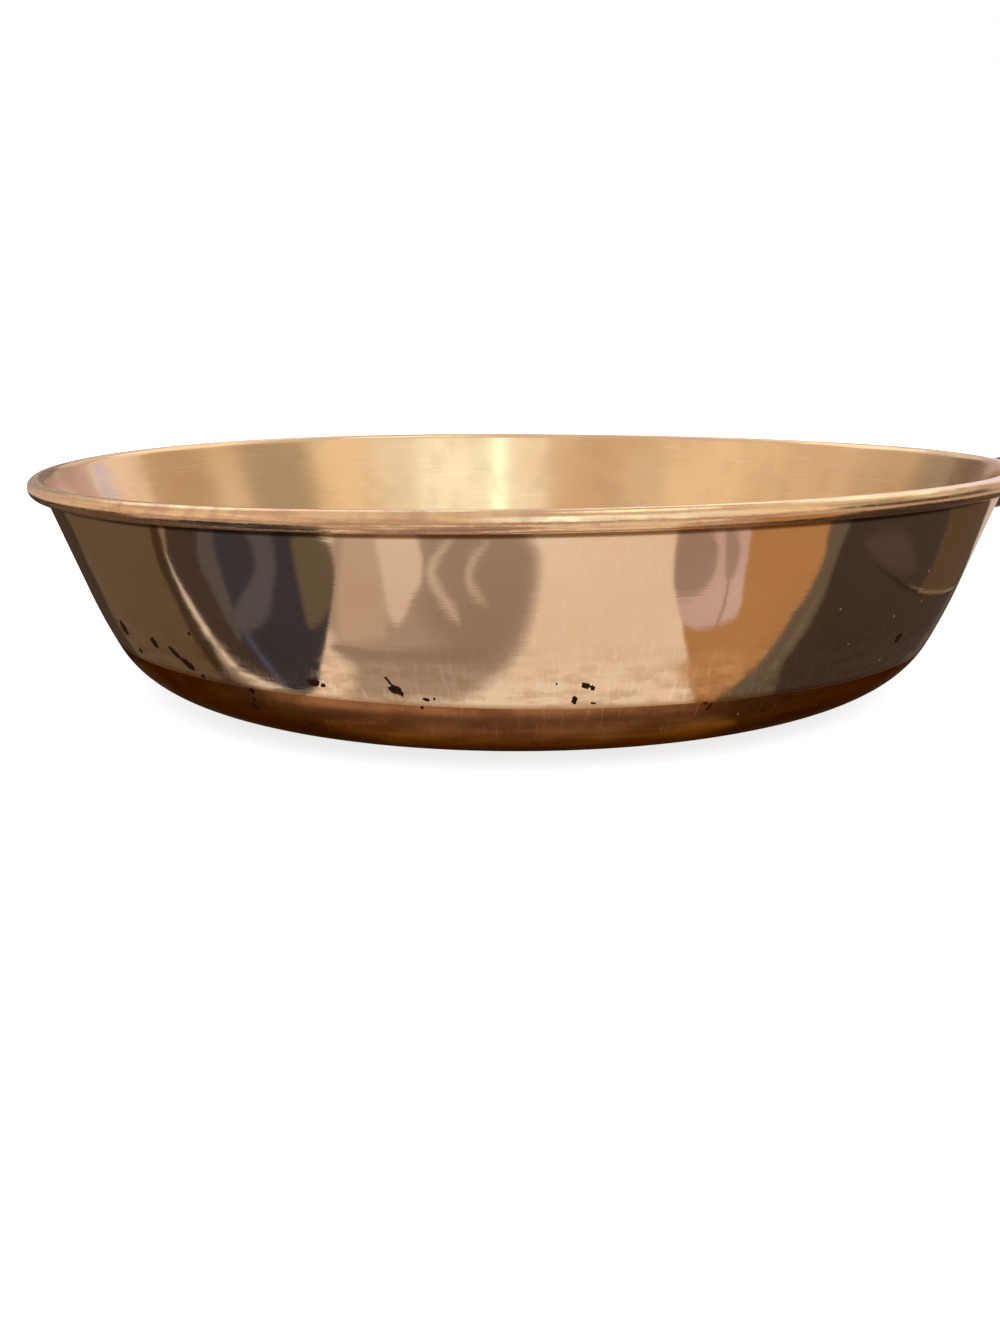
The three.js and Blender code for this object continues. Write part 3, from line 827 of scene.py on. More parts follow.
def slab(name, outline, thickness):
    """A flat outline given a thickness, which is a vector"""
    piece = start_line(name, outline)
    bpy.ops.mesh.edge_face_add()
    bpy.ops.mesh.extrude_region_move(TRANSFORM_OT_translate={"value": thickness})
    close_up()
    return piece


def block(low, high):
    """A plain box, to cut with"""
    deselect()
    middle = (Vector(low) + Vector(high)) / 2
    bpy.ops.mesh.primitive_cube_add(size=1, location=middle, scale=Vector(high) - Vector(low))
    settle()
    return bpy.context.object


def rod(radius, low, high, sides=ROD_STEPS, turn=(0, 0, 0)):
    """A plain rod between two heights above the origin, turned after, to cut with"""
    deselect()
    bpy.ops.mesh.primitive_cylinder_add(vertices=sides, radius=radius, depth=high - low)
    bpy.ops.transform.translate(value=(0, 0, (low + high) / 2))
    settle()
    bpy.context.object.rotation_euler = turn
    settle()
    return bpy.context.object


def moved(piece, across):
    select_only(piece)
    piece.location = across
    settle()
    return piece


def on_handle(piece):
    """Carries a piece from the handle's own axes to its place on the pan"""
    select_only(piece)
    piece.matrix_world = HANDLE_PLACE
    settle()
    return piece


def apply_modifiers(piece):
    select_only(piece)
    for modifier in list(piece.modifiers):
        bpy.ops.object.modifier_apply(modifier=modifier.name)


def weld(piece, nearest):
    """Joins the points that a cut leaves closer together than this, and clears what hangs loose"""
    select_only(piece)
    bpy.ops.object.mode_set(mode="EDIT")
    bpy.ops.mesh.select_all(action="SELECT")
    bpy.ops.mesh.remove_doubles(threshold=nearest)
    bpy.ops.mesh.dissolve_degenerate(threshold=nearest)
    bpy.ops.mesh.delete_loose()
    bpy.ops.object.mode_set(mode="OBJECT")


def combine(piece, other, operation="UNION"):
    """The piece joined to the other, cut by it or cut down to it"""
    boolean = piece.modifiers.new(operation.lower(), "BOOLEAN")
    boolean.operation = operation
    boolean.object = other
    boolean.solver = "EXACT"
    apply_modifiers(piece)
    bpy.data.objects.remove(other)
    weld(piece, CUT_GAP)
    return piece


def cut(piece, tool):
    return combine(piece, tool, "DIFFERENCE")


def drilled(piece, along, radius, low, high, sides=ROD_STEPS):
    """The piece with an upright hole between two heights, this far along the handle"""
    return cut(piece, moved(rod(radius, low, high, sides), (along, 0, 0)))


def soften(piece, width):
    """Rounds the sharp edges as pressing, moulding and handling leave them"""
    weld(piece, EDGE_GAP)
    bevel = piece.modifiers.new("edges", "BEVEL")
    bevel.width = width
    bevel.segments = 2
    bevel.limit_method = "ANGLE"
    bevel.angle_limit = radians(35)
    bevel.use_clamp_overlap = False
    apply_modifiers(piece)
    weld(piece, CUT_GAP)
    smooth(piece)


def round_corners(corners, radius):
    """An outline through the corners, each turned by a short curve"""
    corners = [Vector(corner) for corner in corners]
    points = []
    for i, corner in enumerate(corners):
        before = corner + (corners[i - 1] - corner).normalized() * radius
        after = corner + (corners[(i + 1) % len(corners)] - corner).normalized() * radius
        for share in spread(0, 1, 0.125):
            points.append(before.lerp(corner, share).lerp(corner.lerp(after, share), share))
    return points


def pan_space(outwards):
    """The room inside the pan and this far out from its wall"""
    section = down_wall(0, KNUCKLE_END, outwards)
    top, foot = section[0], section[-1]
    return turned("pan_space", [(0, 0, top.z), *section, (0, 0, foot.z)], PAN_STEPS)


def saddle():
    """The shield that lies on the wall, bent to its curve and dimpled where it is spot-welded"""
    face = CLEARANCE + SADDLE_SHEET
    inner = down_wall(0, KNUCKLE_END, CLEARANCE)
    outer = down_wall(KNUCKLE_END, 0, face)
    shell = start_line("handle_bracket_dressed", [*inner, *outer])
    bpy.ops.mesh.edge_face_add()
    bpy.ops.mesh.spin(steps=SADDLE_STEPS, angle=-SADDLE_SWEEP, center=(0, 0, 0), axis=(0, 0, 1))
    close_up()
    shell.rotation_euler = (0, 0, -SADDLE_SWEEP / 2)
    select_only(shell)
    settle()
    corners = [
        (0, -SADDLE_WIDTH / 2, SADDLE_TOP),
        (0, -SADDLE_FOOT_WIDTH / 2, SADDLE_FOOT),
        (0, SADDLE_FOOT_WIDTH / 2, SADDLE_FOOT),
        (0, SADDLE_WIDTH / 2, SADDLE_TOP),
    ]
    shield = slab("shield", round_corners(corners, SADDLE_CORNER), (SHIELD_REACH, 0, 0))
    combine(shell, shield, "INTERSECT")
    ball = (WELD_RADIUS ** 2 + WELD_DEPTH ** 2) / (2 * WELD_DEPTH)
    out = face + ball - WELD_DEPTH
    for down, sideways in WELD_PLACES:
        radius, height, lean = wall_face(down)
        spoke = radius + out * cos(lean)
        for azimuth in (-sideways / radius, sideways / radius):
            deselect()
            bpy.ops.mesh.primitive_uv_sphere_add(
                segments=96,
                ring_count=64,
                radius=ball,
                location=(spoke * cos(azimuth), spoke * sin(azimuth), height - out * sin(lean)),
            )
            settle()
            cut(shell, bpy.context.object)
    return shell


def tang():
    half = TANG_WIDTH / 2
    nose = [
        (TANG_END - half + half * cos(angle), half * sin(angle), -HALF_TANG)
        for angle in spread(-pi / 2, pi / 2, ARC_STEP)
    ]
    outline = [(-TANG_WIDTH, -half, -HALF_TANG), *nose, (-TANG_WIDTH, half, -HALF_TANG)]
    strap = slab("tang", outline, (0, 0, TANG_THICKNESS))
    for along in (FRONT_SCREW, REAR_SCREW):
        drilled(strap, along, SCREW_RADIUS + CLEARANCE, -BIG, BIG)
    end = GUARD_START - CLEARANCE
    for start in (-half, half - TANG_SIDE_SHEET):
        outline = [
            (-TANG_WIDTH, start, HALF_TANG),
            (-TANG_WIDTH, start, HALF_TANG - TANG_ROOT_DEPTH),
            (end / 3, start, HALF_TANG - TANG_SIDE_DEPTH),
            (end, start, -HALF_TANG),
            (end, start, HALF_TANG),
        ]
        combine(strap, slab("tang_side", outline, (0, TANG_SIDE_SHEET, 0)))
    return on_handle(strap)


def make_bracket():
    rooted = cut(tang(), pan_space(CLEARANCE + SADDLE_SHEET / 2))
    bracket = combine(saddle(), rooted)
    soften(bracket, BRACKET_ROUND)
    dress(bracket, "handle_bracket", "skillet", "pressed_steel", pressed_stainless())


def along_handle(name, profile, steps):
    """A profile of distance along the handle and radius, turned about the handle's axis and flattened"""
    piece = turned(name, [(along, 0, radius) for along, radius in profile], steps, axis=(1, 0, 0))
    for vertex in piece.data.vertices:
        vertex.co.z *= GRIP_FLATNESS
    return piece


def corner_arc(centre_along, centre_radius, radius, first, last, step=radians(12)):
    return [
        (centre_along + radius * cos(angle), centre_radius + radius * sin(angle))
        for angle in spread(first, last, step)
    ]


def tang_space():
    half = TANG_WIDTH / 2 + CLEARANCE
    return block((0, -half, -HALF_TANG - CLEARANCE), (TANG_END + CLEARANCE, half, HALF_TANG + CLEARANCE))


def make_guard():
    corner = (GUARD_START + GUARD_BEND, GUARD_RADIUS - GUARD_BEND)
    edge = GUARD_SHEET / 2
    profile = [
        (GUARD_START, 0),
        *corner_arc(*corner, GUARD_BEND, pi, pi / 2),
        *corner_arc(GUARD_END - edge, GUARD_RADIUS - edge, edge, pi / 2, -pi / 2),
        *corner_arc(*corner, GUARD_BEND - GUARD_SHEET, pi / 2, pi),
        (GUARD_START + GUARD_SHEET, 0),
    ]
    guard = along_handle("flame_guard_dressed", profile, GUARD_STEPS)
    cut(guard, tang_space())
    smooth(guard)
    on_handle(guard)
    dress(guard, "flame_guard", "skillet", "pressed_steel", pressed_stainless())


def grip_side():
    """The grip's half width from its neck, over the palm, to its tail, on one smooth curve"""
    palm = (GRIP_SHOULDER + TAIL_START) / 2
    marks = (
        (GRIP_SHOULDER, GRIP_NECK_RADIUS),
        ((GRIP_SHOULDER + palm) / 2, (GRIP_NECK_RADIUS + GRIP_PALM_RADIUS) / 2),
        (palm, GRIP_PALM_RADIUS),
        ((palm + TAIL_START) / 2, (GRIP_PALM_RADIUS + GRIP_TAIL_RADIUS) / 2),
        (TAIL_START, GRIP_TAIL_RADIUS),
    )
    return [tuple(point) for point in curve_through([Vector(mark) for mark in marks])]


def grip_form():
    nose = GUARD_RADIUS - GUARD_SHEET - CLEARANCE
    tail_centre = (TAIL_START, GRIP_TAIL_RADIUS - GRIP_END_ROUND)
    profile = [
        (GRIP_START, 0),
        (GRIP_START, nose),
        (GRIP_SHOULDER, nose),
        *grip_side(),
        *corner_arc(*tail_centre, GRIP_END_ROUND, pi / 2, 0, radians(7.5)),
        (GRIP_END, 0),
    ]
    return along_handle("grip_form", profile, GRIP_STEPS)


def grip_half(name, side):
    half = grip_form()
    half.name = name
    faces = sorted((side * PARTING_LINE / 2, side * BIG))
    combine(half, block((0, -BIG, faces[0]), (GRIP_END + BIG, BIG, faces[1])), "INTERSECT")
    cut(half, tang_space())
    notch = BARREL_LENGTH / 2 + NOTCH_SIDE_CLEARANCE
    cut(half, block((NOTCH_BACK, -notch, -BIG), (GRIP_END + BIG, notch, BIG)))
    reach = PIN_LENGTH / 2 + CLEARANCE
    bore = rod(PIN_RADIUS + PIN_CLEARANCE, -reach, reach, turn=ACROSS_HANDLE)
    return cut(half, moved(bore, (PIN_PLACE, 0, 0)))


def make_grip():
    phenolic = moulded_phenolic()
    upper = grip_half("grip_upper_dressed", 1)
    lower = grip_half("grip_lower_dressed", -1)
    nut_corner = (NUT_ACROSS_FLATS / 2 + CLEARANCE) / cos(pi / 6)
    nut_high = HALF_TANG + CLEARANCE + NUT_HEIGHT + CLEARANCE
    for along in (FRONT_SCREW, REAR_SCREW):
        drilled(upper, along, nut_corner, 0, nut_high, 6)
        drilled(lower, along, SCREW_RADIUS + CLEARANCE, -BIG, 0)
        drilled(lower, along, SCREW_HEAD_RADIUS + CLEARANCE, -BIG, -SCREW_SEAT)
    for half, node in ((upper, "grip_upper"), (lower, "grip_lower")):
        soften(half, GRIP_ROUND)
        on_handle(half)
        dress(half, node, "skillet", "black_phenolic", phenolic)


def make_screws(zinc):
    head_top = -SCREW_SEAT - CLEARANCE
    head_low = head_top - SCREW_HEAD_HEIGHT
    top = HALF_TANG + CLEARANCE + NUT_HEIGHT
    profile = [
        (0, 0, head_low),
        (SCREW_HEAD_RADIUS * 0.5, 0, head_low + SCREW_DOME * 0.2),
        (SCREW_HEAD_RADIUS * 0.85, 0, head_low + SCREW_DOME * 0.75),
        (SCREW_HEAD_RADIUS, 0, head_low + SCREW_DOME * 1.3),
        (SCREW_HEAD_RADIUS, 0, head_top),
        (SCREW_RADIUS, 0, head_top),
        (SCREW_RADIUS, 0, top - SCREW_CHAMFER),
        (SCREW_RADIUS - SCREW_CHAMFER, 0, top),
        (0, 0, top),
    ]
    half = SCREW_SLOT_WIDTH / 2
    for along, node in ((FRONT_SCREW, "tang_screw_front"), (REAR_SCREW, "tang_screw_rear")):
        screw = turned(node + "_dressed", profile, PIN_STEPS)
        cut(screw, block((-half, -BIG, head_low - BIG), (half, BIG, head_low + SCREW_SLOT_DEPTH)))
        moved(screw, (along, 0, 0))
        soften(screw, SCREW_ROUND)
        on_handle(screw)
        dress(screw, node, "skillet", "zinc_plated_steel", zinc)
    for node in ("tang_nut_front", "tang_nut_rear"):
        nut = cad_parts[node]
        nut.data.materials.clear()
        nut.data.materials.append(zinc)


def make_pin(zinc):
    half = PIN_LENGTH / 2
    profile = [
        (0, -half, 0),
        (PIN_RADIUS - PIN_CHAMFER, -half, 0),
        (PIN_RADIUS, -half + PIN_CHAMFER, 0),
        (PIN_RADIUS, half - PIN_CHAMFER, 0),
        (PIN_RADIUS - PIN_CHAMFER, half, 0),
        (0, half, 0),
    ]
    pin = turned("ring_pin_dressed", profile, PIN_STEPS, axis=(0, 1, 0))
    moved(pin, (PIN_PLACE, 0, 0))
    smooth(pin)
    on_handle(pin)
    dress(pin, "ring_pin", "skillet", "zinc_plated_steel", zinc)


def make_ring():
    ring_top = GRIP_TAIL_RADIUS * GRIP_FLATNESS + RING_SWING_CLEARANCE
    deselect()
    bpy.ops.mesh.primitive_torus_add(
        major_segments=120,
        minor_segments=28,
        major_radius=RING_RADIUS,
        minor_radius=RING_WIRE_RADIUS,
        location=(0, 0, -(ring_top + RING_WIRE_RADIUS + RING_RADIUS)),
        rotation=(0, pi / 2, 0),
    )
    ring = bpy.context.object
    ring.name = "hanging_ring_dressed"
    settle()
    half = RING_STEM_WIDTH / 2
    front = -RING_STEM_THICKNESS / 2
    stem = [
        (front, -half, 0),
        (front, -half, -ring_top + half / 2),
        (front, -half * RING_STEM_SPLAY, -ring_top - RING_WIRE_RADIUS),
        (front, half * RING_STEM_SPLAY, -ring_top - RING_WIRE_RADIUS),
        (front, half, -ring_top + half / 2),
        (front, half, 0),
    ]
    combine(ring, slab("stem", stem, (RING_STEM_THICKNESS, 0, 0)))
    combine(ring, rod(BARREL_RADIUS, -BARREL_LENGTH / 2, BARREL_LENGTH / 2, PIN_STEPS, ACROSS_HANDLE))
    cut(ring, rod(PIN_RADIUS + PIN_CLEARANCE, -BARREL_LENGTH, BARREL_LENGTH, PIN_STEPS, ACROSS_HANDLE))
    soften(ring, RING_ROUND)
    moved(ring, HANDLE_PLACE @ Vector((PIN_PLACE, 0, 0)))
    dress(ring, "hanging_ring", "ring", "pressed_steel", pressed_stainless())


make_bracket()
make_guard()
make_grip()
zinc_finish = zinc_plated_steel()
make_screws(zinc_finish)
make_pin(zinc_finish)
make_ring()


# The studio

FLOOR_SIZE = 12.0
CEILING = 2.2
SCREEN_DISTANCE = 2.2
SCREEN_STEP = 50 * MM
SCREEN_FADE = 4
CARD_STEP = 0.04 * MM
SHADE_LAYER = 14
SHADE_RADIUS = 117 * MM
SHADE_EDGE = 24 * MM
STRIP_POINT = 0.2


def emptied(holder):
    """The node tree of a material or a world, with nothing left in it"""
    holder.use_nodes = True
    holder.node_tree.nodes.clear()
    return holder.node_tree


def looked_at(tree):
    """1 where the camera, a reflection or a see-through surface looks at it, and 0 where it lights"""
    shown = 0.0
    for ray in ("Camera", "Glossy", "Transmission"):
        looking = add_node(tree, "LightPath", output="Is " + ray + " Ray")
        shown = add_node(tree, "Math", {0: looking, 1: shown}, operation="MAXIMUM")
    return shown


def glow(name, colour, strength):
    """Light that thins out where the mesh's own "solid" mark falls to nothing"""
    material = bpy.data.materials.new(name)
    tree = emptied(material)
    solid = add_node(tree, "Attribute", output="Fac", attribute_name="solid")
    light = add_node(tree, "Emission", {"Color": linear(colour), "Strength": strength})
    both = add_node(tree, "MixShader", {0: solid, 1: add_node(tree, "BsdfTransparent"), 2: light})
    add_node(tree, "OutputMaterial", {"Surface": both})
    material.cycles.emission_sampling = "NONE"
    return material


def only_reflected(card, colour, strength=1.0, faded=()):
    """The card shows in the pan's polish and nowhere else, and lights nothing"""
    solid = card.data.attributes.new("solid", "FLOAT", "POINT")
    for index, mark in enumerate(solid.data):
        mark.value = 0.0 if index in faded else 1.0
    card.data.materials.append(glow(card.name, colour, strength))
    for ray in ("camera", "diffuse", "transmission", "volume_scatter", "shadow"):
        setattr(card, "visible_" + ray, False)


def on_floor(layer, places):
    """Places on a card's layer. They are in the photograph's view, in millimetres"""
    return [from_camera(x * MM, y * MM, layer * CARD_STEP) for x, y in places]


def floor_card(name, colour, layer, fade, outline):
    """A card on the floor with a smooth outline. Its edge fades in over some millimetres"""
    rim = curve_through(on_floor(layer, outline), closed=True, step=0.25)
    card = start_line(name, rim)
    bpy.ops.mesh.edge_face_add()
    bpy.ops.mesh.inset(thickness=fade * MM, depth=0)
    bpy.ops.object.mode_set(mode="OBJECT")
    only_reflected(card, colour, faded=range(len(rim)))


def floor_strip(name, colour, layer, width, line):
    """A thin card on the floor along a smooth line, which fades to both sides. Each of its ends is pointed
    over STRIP_POINT of its length"""
    path = curve_through(on_floor(layer, line), step=0.2)
    last = len(path) - 1
    deselect()
    bpy.ops.mesh.primitive_grid_add(x_subdivisions=2, y_subdivisions=last, size=1)
    card = bpy.context.object
    card.name = name
    faded = set()
    for vertex in card.data.vertices:
        row = round((vertex.co.y + 0.5) * last)
        side = round(vertex.co.x * 2)
        ahead = path[min(row + 1, last)] - path[max(row - 1, 0)]
        across = ahead.cross(Vector((0, 0, 1))).normalized()
        taper = min(1, row / last / STRIP_POINT, (last - row) / last / STRIP_POINT)
        vertex.co = path[row] + across * side * taper * width / 2 * MM
        if side:
            faded.add(vertex.index)
    only_reflected(card, colour, faded=faded)


def round_card(name, colour, radius, centre, strength=1.0):
    deselect()
    bpy.ops.mesh.primitive_circle_add(vertices=96, radius=radius, fill_type="NGON", location=centre)
    card = bpy.context.object
    card.name = name
    settle()
    only_reflected(card, colour, strength)
    return card


def make_shade_card():
    """A round card on the floor under the pan, darker towards its middle"""
    card = round_card("shade_card", "#FFFFFF", SHADE_RADIUS, (0, 0, SHADE_LAYER * CARD_STEP))
    tree = card.data.materials[0].node_tree
    place = add_node(tree, "TexCoord", output="Object")
    radius = add_node(tree, "VectorMath", {0: place}, "Value", operation="LENGTH")
    inner = SHADE_RADIUS - SHADE_EDGE
    shade = tinted(tree, linear("#54483E"), linear("#75665A"), radius, inner, SHADE_RADIUS)
    feed(tree, tree.nodes["Emission"], {"Color": shade})


def upright_card(name, colour, strength, first, last, layer, low=0.0, high=CEILING):
    """A curved card that stands round the pan, between two azimuths in degrees from the camera, to the
    right. Its sides fade in over SCREEN_FADE degrees"""
    distance = SCREEN_DISTANCE - layer * SCREEN_STEP
    start = radians(first - SCREEN_FADE / 2)
    turn = radians(last - first + SCREEN_FADE)
    foot = from_camera(sin(start) * distance, -cos(start) * distance, low)
    card = start_line(name, [foot, foot + Vector((0, 0, high - low))])
    steps = round(turn / radians(SCREEN_FADE))
    bpy.ops.mesh.spin(steps=steps, angle=-turn, center=(0, 0, 0), axis=(0, 0, 1))
    bpy.ops.object.mode_set(mode="OBJECT")
    ends = (foot, Matrix.Rotation(turn, 3, "Z") @ foot)
    at_sides = {v.index for v in card.data.vertices if min((v.co - end).xy.length for end in ends) < MM}
    only_reflected(card, colour, strength, at_sides)


def make_world():
    world = bpy.data.worlds.new("studio")
    bpy.context.scene.world = world
    tree = emptied(world)
    strength = add_node(tree, "MapRange", {VALUE: looked_at(tree), AT_LOW: 0.85}, **SMOOTH)
    sky = add_node(tree, "Background", {"Color": linear("#FFFFFF"), "Strength": strength})
    add_node(tree, "OutputWorld", {"Surface": sky})


def make_floor():
    deselect()
    bpy.ops.mesh.primitive_plane_add(size=FLOOR_SIZE)
    floor = bpy.context.object
    floor.name = "floor"
    material = bpy.data.materials.new("pale_floor")
    tree = emptied(material)
    paper = add_node(tree, "BsdfDiffuse", {"Color": linear("#D5D5D5")})
    lift = add_node(tree, "Math", {0: looked_at(tree), 1: 0.78}, operation="MULTIPLY")
    both = add_node(tree, "AddShader", {0: paper, 1: add_node(tree, "Emission", {"Strength": lift})})
    add_node(tree, "OutputMaterial", {"Surface": both})
    floor.data.materials.append(material)


def softbox(name, azimuth, elevation, distance, size, power):
    """A soft lamp that faces the pan. Its azimuth is measured from the camera, to the right"""
    out = from_camera(sin(azimuth) * cos(elevation), -cos(azimuth) * cos(elevation), sin(elevation))
    bpy.ops.object.light_add(type="AREA", location=out * distance)
    lamp = bpy.context.object
    lamp.name = name
    lamp.data.shape = "SQUARE"
    lamp.data.size = size
    lamp.data.energy = power
    lamp.rotation_euler = out.to_track_quat("Z", "Y").to_euler()
    lamp.visible_glossy = False


make_world()
make_floor()
softbox("key_softbox", radians(20), radians(38), distance=1.3, size=0.8, power=3.2)
softbox("back_softbox", radians(165), radians(60), distance=1.4, size=0.9, power=5)

# Cards that show in the polish of the cooking face and the lip: a pale warm surround, brighter before
# the pan on the right, and darker to either side
round_card("ceiling_card", "#EFE2D6", SCREEN_DISTANCE, (0, 0, CEILING))
round_card("far_floor_card", "#CDB9AD", SCREEN_DISTANCE, (0, 0, CARD_STEP / 2))
round_card("lip_light_card", "#FFFFF2", 0.45, from_camera(0.6, 0.0, 2.15), 1.7)
# Name, colour, strength, first and last azimuth, layer, and low and high edge
UPRIGHT_CARDS = (
    ("warm_screen", "#EBDBC9", 1.0, -184, 184, 0),
    ("high_back_screen", "#FFFBF6", 1.5, 108, 176, 12, 1.0, 2.1),
    ("other_high_back_screen", "#FFFBF6", 1.5, -176, -120, 12, 1.0, 2.1),
    ("high_dim_screen", "#D2BEAC", 1.4, -40, -10, 12, 1.15, 2.1),
    ("low_right_screen", "#6E5E52", 1.0, 66, 116, 14, 0.0, 0.4),
    ("pale_screen", "#FFFFFF", 1.2, -9, 7, 2),
    ("brightest_screen", "#CFFAFF", 2.5, 5.4, 11.4, 3),
    ("bright_screen", "#F6FFFF", 1.38, 12, 36, 2),
    ("white_screen", "#FFFCF6", 1.03, 35, 52, 1),
    ("gold_screen", "#FFF0DA", 1.04, 51, 71, 2),
    ("grey_screen", "#B9AEA3", 1.0, 72, 96, 1, 0.0, 1.5),
    ("tan_screen", "#CDBBA7", 1.08, 108, 134, 1),
    ("rose_screen", "#FFF6F6", 1.12, 134, 158, 2),
    ("mauve_screen", "#D8C8D0", 1.0, 158, 169, 1, 0.0, 0.8),
    ("cool_screen", "#A0B0FF", 1.6, 150, 155, 3, 0.3, 0.6),
    ("dark_mauve_screen", "#C6B0AC", 1.0, 168, 184, 2, 0.0, 0.7),
    ("dusk_screen", "#DDCBB9", 1.0, -36, -19, 1),
    ("amber_screen", "#FFEDD9", 1.02, -78, -50, 1),
    ("light_straw_screen", "#F8E4CE", 1.0, -92, -77, 2),
    ("straw_screen", "#EBD6C1", 1.0, -116, -91, 3),
    ("dim_screen", "#D9C4AF", 1.0, -140, -115, 1),
    ("dimmer_screen", "#AA9F94", 1.0, -156, -139, 2, 0.0, 0.8),
    ("dimmest_screen", "#8A7A74", 1.0, -184, -155, 1, 0.0, 0.7),
)
for card in UPRIGHT_CARDS:
    upright_card(*card)

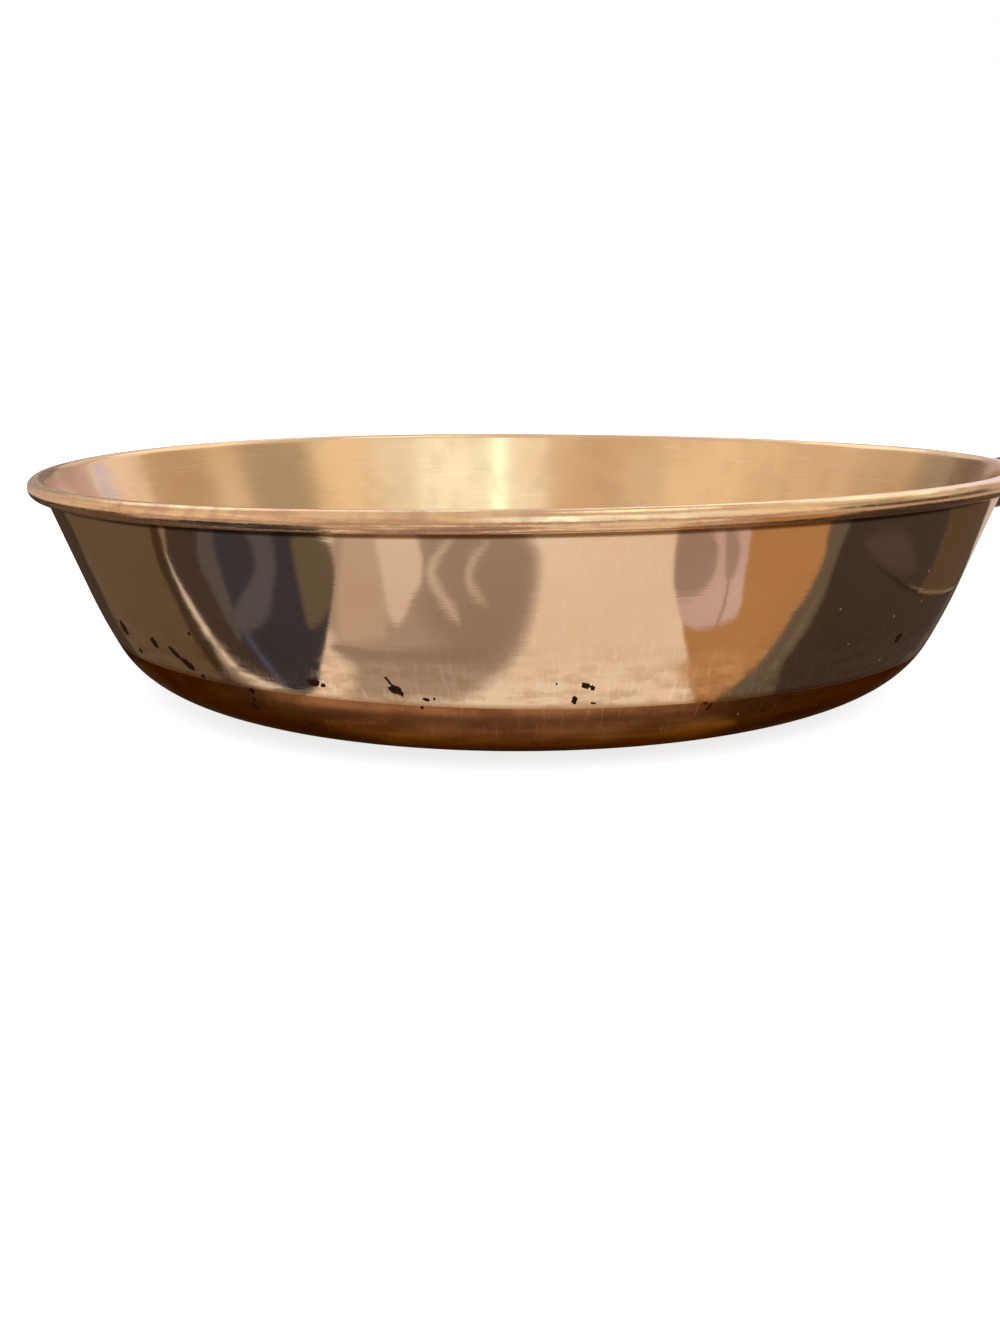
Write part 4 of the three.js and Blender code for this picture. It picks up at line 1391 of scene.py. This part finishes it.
# Cards on the floor before the pan, which give the outer wall its bands: name, colour, layer, the width
# of its faded edge, and outline
FLOOR_CARDS = (
    ("cream_card", "#FAEBDF", 1, 1, (
        (-100, -60), (-80, -100), (-90, -250), (0, -260), (120, -250), (110, -100), (100, -60), (0, -80),
    )),
    ("tan_card", "#B9A79E", 2, 5, (
        (7, -176), (9, -165), (6, -152), (1, -139), (-6, -128), (-15, -120), (-31, -115), (-46, -111),
        (-52, -120), (-62, -126), (-73, -131), (-83, -160), (-60, -200), (-10, -200),
    )),
    ("beige_card", "#CDB9AC", 3, 3, (
        (-60, -128), (-50, -132), (-44, -137), (-47, -146), (-53, -156), (-60, -168), (-80, -175),
        (-74, -152), (-68, -138),
    )),
    ("dusk_card", "#A7948B", 3, 9, (
        (8, -176), (9, -160), (1, -140), (-12, -130), (-30, -138), (-42, -150), (-44, -180), (-20, -200),
    )),
    ("tan_shade_card", "#A49187", 4, 3.5, (
        (-64, -127), (-45, -134), (-31, -139.5), (-14, -143), (-6, -140), (-16, -133), (-29, -131),
        (-41, -127), (-54, -123),
    )),
    ("wedge_card", "#E8D8CD", 5, 2, (
        (-62, -167), (-56, -156), (-49, -145), (-44, -141), (-40.5, -143), (-39, -151), (-37, -158),
        (-40, -168), (-50, -178),
    )),
    ("navy_card", "#403F49", 6, 1, (
        (-92, -160), (-80, -153), (-74, -150), (-70, -142), (-66.5, -133), (-62.5, -124), (-59.5, -117),
        (-56, -110), (-60, -103.5), (-75, -98.5), (-87, -94.8), (-106, -93.5), (-121, -90.5), (-135, -88.5),
        (-148, -86.5), (-165, -90), (-190, -105), (-180, -150), (-120, -180),
    )),
    ("umber_card", "#4B3D38", 7, 2.5, (
        (-165, -90), (-148, -86.5), (-135, -88.5), (-121, -90.5), (-106, -93.5), (-87, -94.8), (-75, -98.5),
        (-64, -102), (-80, -104.5), (-98, -105), (-121, -106), (-132, -106), (-143, -112), (-158, -127),
        (-188, -115),
    )),
    ("fold_card", "#5E585E", 8, 2.5, (
        (-152, -123), (-143, -110), (-132, -104), (-121, -104), (-110, -103), (-98, -103), (-92, -105),
        (-103, -108), (-115, -111), (-122, -115), (-129, -118), (-139, -124),
    )),
    ("wide_fold_card", "#5E5A62", 8, 3, (
        (-132, -133), (-118, -133), (-108, -127), (-107, -118), (-105, -107), (-95, -105), (-89, -114),
        (-89, -121), (-93, -128), (-100, -139), (-116, -148),
    )),
    ("olive_wedge_card", "#6E6355", 8, 2, (
        (-99, -150), (-91, -140), (-85, -135), (-79, -130), (-73, -126), (-69, -129), (-68, -137),
        (-71, -144), (-74, -151), (-84, -158),
    )),
    ("left_edge_card", "#46382C", 5, 4, (
        (-60, -85), (-85, -95), (-150, -80), (-300, -80), (-460, -60), (-460, 420), (-150, 300), (-90, 60),
    )),
    ("left_card", "#6A5947", 6, 2, (
        (-58, -102), (-72, -95), (-83, -91), (-97, -89), (-119, -87), (-134, -85), (-153, -83), (-171, -87),
        (-260, -90), (-360, -40), (-320, 60), (-247, 86), (-226, 64), (-195, 41), (-173, 18), (-152, -1),
        (-131, -20), (-112, -39), (-92, -58), (-70, -78),
    )),
    ("dark_streak_card", "#463628", 7, 0.8, (
        (-172, -82), (-153, -78.7), (-134, -81.2), (-119, -83.2), (-97, -85.2), (-83, -87.7), (-69, -94),
        (-71, -98), (-84, -94.8), (-100, -93.3), (-115, -91.3), (-131, -88.8), (-147, -87.3), (-171, -92),
    )),
    ("streak_top_card", "#8E7B6A", 8, 0.6, (
        (-168, -89), (-158, -87.5), (-147, -86.6), (-144, -88), (-152, -89), (-160, -92.5), (-168, -94),
    )),
    ("orange_card", "#BE9062", 6, 1, (
        (44.5, -108), (47, -118), (52, -128), (54.5, -136), (60, -144), (72, -152), (90, -170), (120, -195),
        (152, -140), (137, -121), (126, -116), (110, -113.5), (98, -113.5), (87, -112.5), (71, -109.5),
        (60, -107), (51, -105),
    )),
    ("mauve_card", "#D8BFC0", 7, 0.8, (
        (68, -166), (59.5, -154), (56.5, -145), (55.5, -138), (58.5, -133.5), (65, -131), (72, -129),
        (77, -129), (81.5, -132), (86.5, -137), (97.5, -147), (107, -160), (90, -174),
    )),
    ("mauve_shade_card", "#AD9692", 8, 1.4, (
        (72, -172), (60, -156), (56.8, -147), (61, -143), (70, -142.5), (77, -146), (82.5, -153),
        (82, -166),
    )),
    ("small_shade_card", "#B29A98", 8, 1.2, (
        (92, -162), (85, -152), (78.5, -141.5), (84, -140.5), (93, -149),
    )),
    ("olive_card", "#6E6459", 7, 0.8, (
        (45, -103), (57, -98), (66, -97), (75, -102), (84, -104), (99, -105), (114, -106), (131, -109.8),
        (145, -112), (178, -118), (172, -134), (136, -122), (126, -117), (110, -114.5), (98, -114.5),
        (87, -113.5), (71, -110.5), (60, -109), (51, -108.5),
    )),
    ("right_edge_card", "#5E5249", 5, 3, (
        (46, -100), (58, -110), (80, -112), (120, -112), (180, -110), (262, 60), (264, 141), (240, 129),
        (214, 116), (190, 112), (166, 96), (142, 66), (118, 36), (95, 5), (60, -30),
    )),
    ("dark_card", "#483C37", 6, 1.5, (
        (56, -90), (66, -103), (84, -106.5), (99, -107.5), (114, -109), (131, -112.5), (145, -115),
        (187, -122), (285, -80), (305, 40), (264, 134), (241, 132), (222, 122), (205, 104), (182, 80),
        (166, 44), (146, 10), (128, -13), (113, -37), (102, -50), (85, -61), (60, -78),
    )),
    ("haze_card", "#584948", 7, 8, (
        (146, -98), (156, -100), (174, -82), (178, -60), (163, -46), (152, -60), (146, -78),
    )),
    ("ember_card", "#CFA379", 9, 5, (
        (44, -124), (46, -111), (55, -108), (66, -111), (70, -118), (58, -126),
    )),
    ("brown_card", "#5F4D3B", 8, 2.5, (
        (157, -39), (171, -29), (181, -25), (192, -22), (207, -17), (238, -17), (280, 50), (260, 126),
        (241, 126), (222, 116), (205, 99), (182, 74), (166, 38), (158, -8), (152.5, -34),
    )),
)
# Name, colour, layer, width and line
FLOOR_STRIPS = (
    ("front_light_strip", "#BCAFA6", SHADE_LAYER + 1, 22, (
        (-48, -96), (-30, -103), (-6, -108), (20, -106), (40, -99), (50, -93),
    )),
    ("hook_strip", "#DACAC0", 5, 6, (
        (-27, -175), (-33, -168), (-35, -161.5), (-31, -156.5), (-24.5, -151), (-20.5, -147),
    )),
    ("small_hook_strip", "#D6C5BB", 5, 5, (
        (-12, -175), (-18, -169), (-20, -163), (-17.5, -158), (-11, -154),
    )),
    ("streak_low_strip", "#B3A396", 9, 6, (
        (-98, -91), (-86, -92.8), (-77, -95.2), (-68, -99.6), (-56, -103.6),
    )),
    ("streak_strip", "#F6ECE2", 10, 4, (
        (-158, -86.6), (-137, -87.9), (-122, -90), (-108, -92.2), (-96, -93.6), (-88, -94.3), (-80, -95.6),
        (-73, -98.2), (-65, -102.6), (-54, -106),
    )),
    ("blue_fold_strip", "#5C6286", 9, 3, ((-100, -108.5), (-87, -107.2), (-76, -105.4), (-62, -103.2))),
    ("mauve_line_strip", "#8E726E", 9, 1.6, ((81, -142), (74, -134.9), (66, -130.3))),
    ("olive_strip", "#81776A", 8, 3, ((62, -102), (74, -105), (86, -107), (100, -108.6), (118, -109.5))),
    ("line_strip", "#241D18", 8, 3, (
        (146.5, -90), (149, -68), (150.4, -54), (153.5, -34), (158.8, -8), (165.7, 42), (168, 60),
    )),
    ("line_edge_strip", "#A8957C", 9, 2, ((152.4, -54), (155, -34), (160.4, -8), (167.2, 42), (169, 60))),
)
for card in FLOOR_CARDS:
    floor_card(*card)
for strip in FLOOR_STRIPS:
    floor_strip(*strip)
make_shade_card()

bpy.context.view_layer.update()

scene = bpy.context.scene
scene.view_settings.view_transform = "Standard"
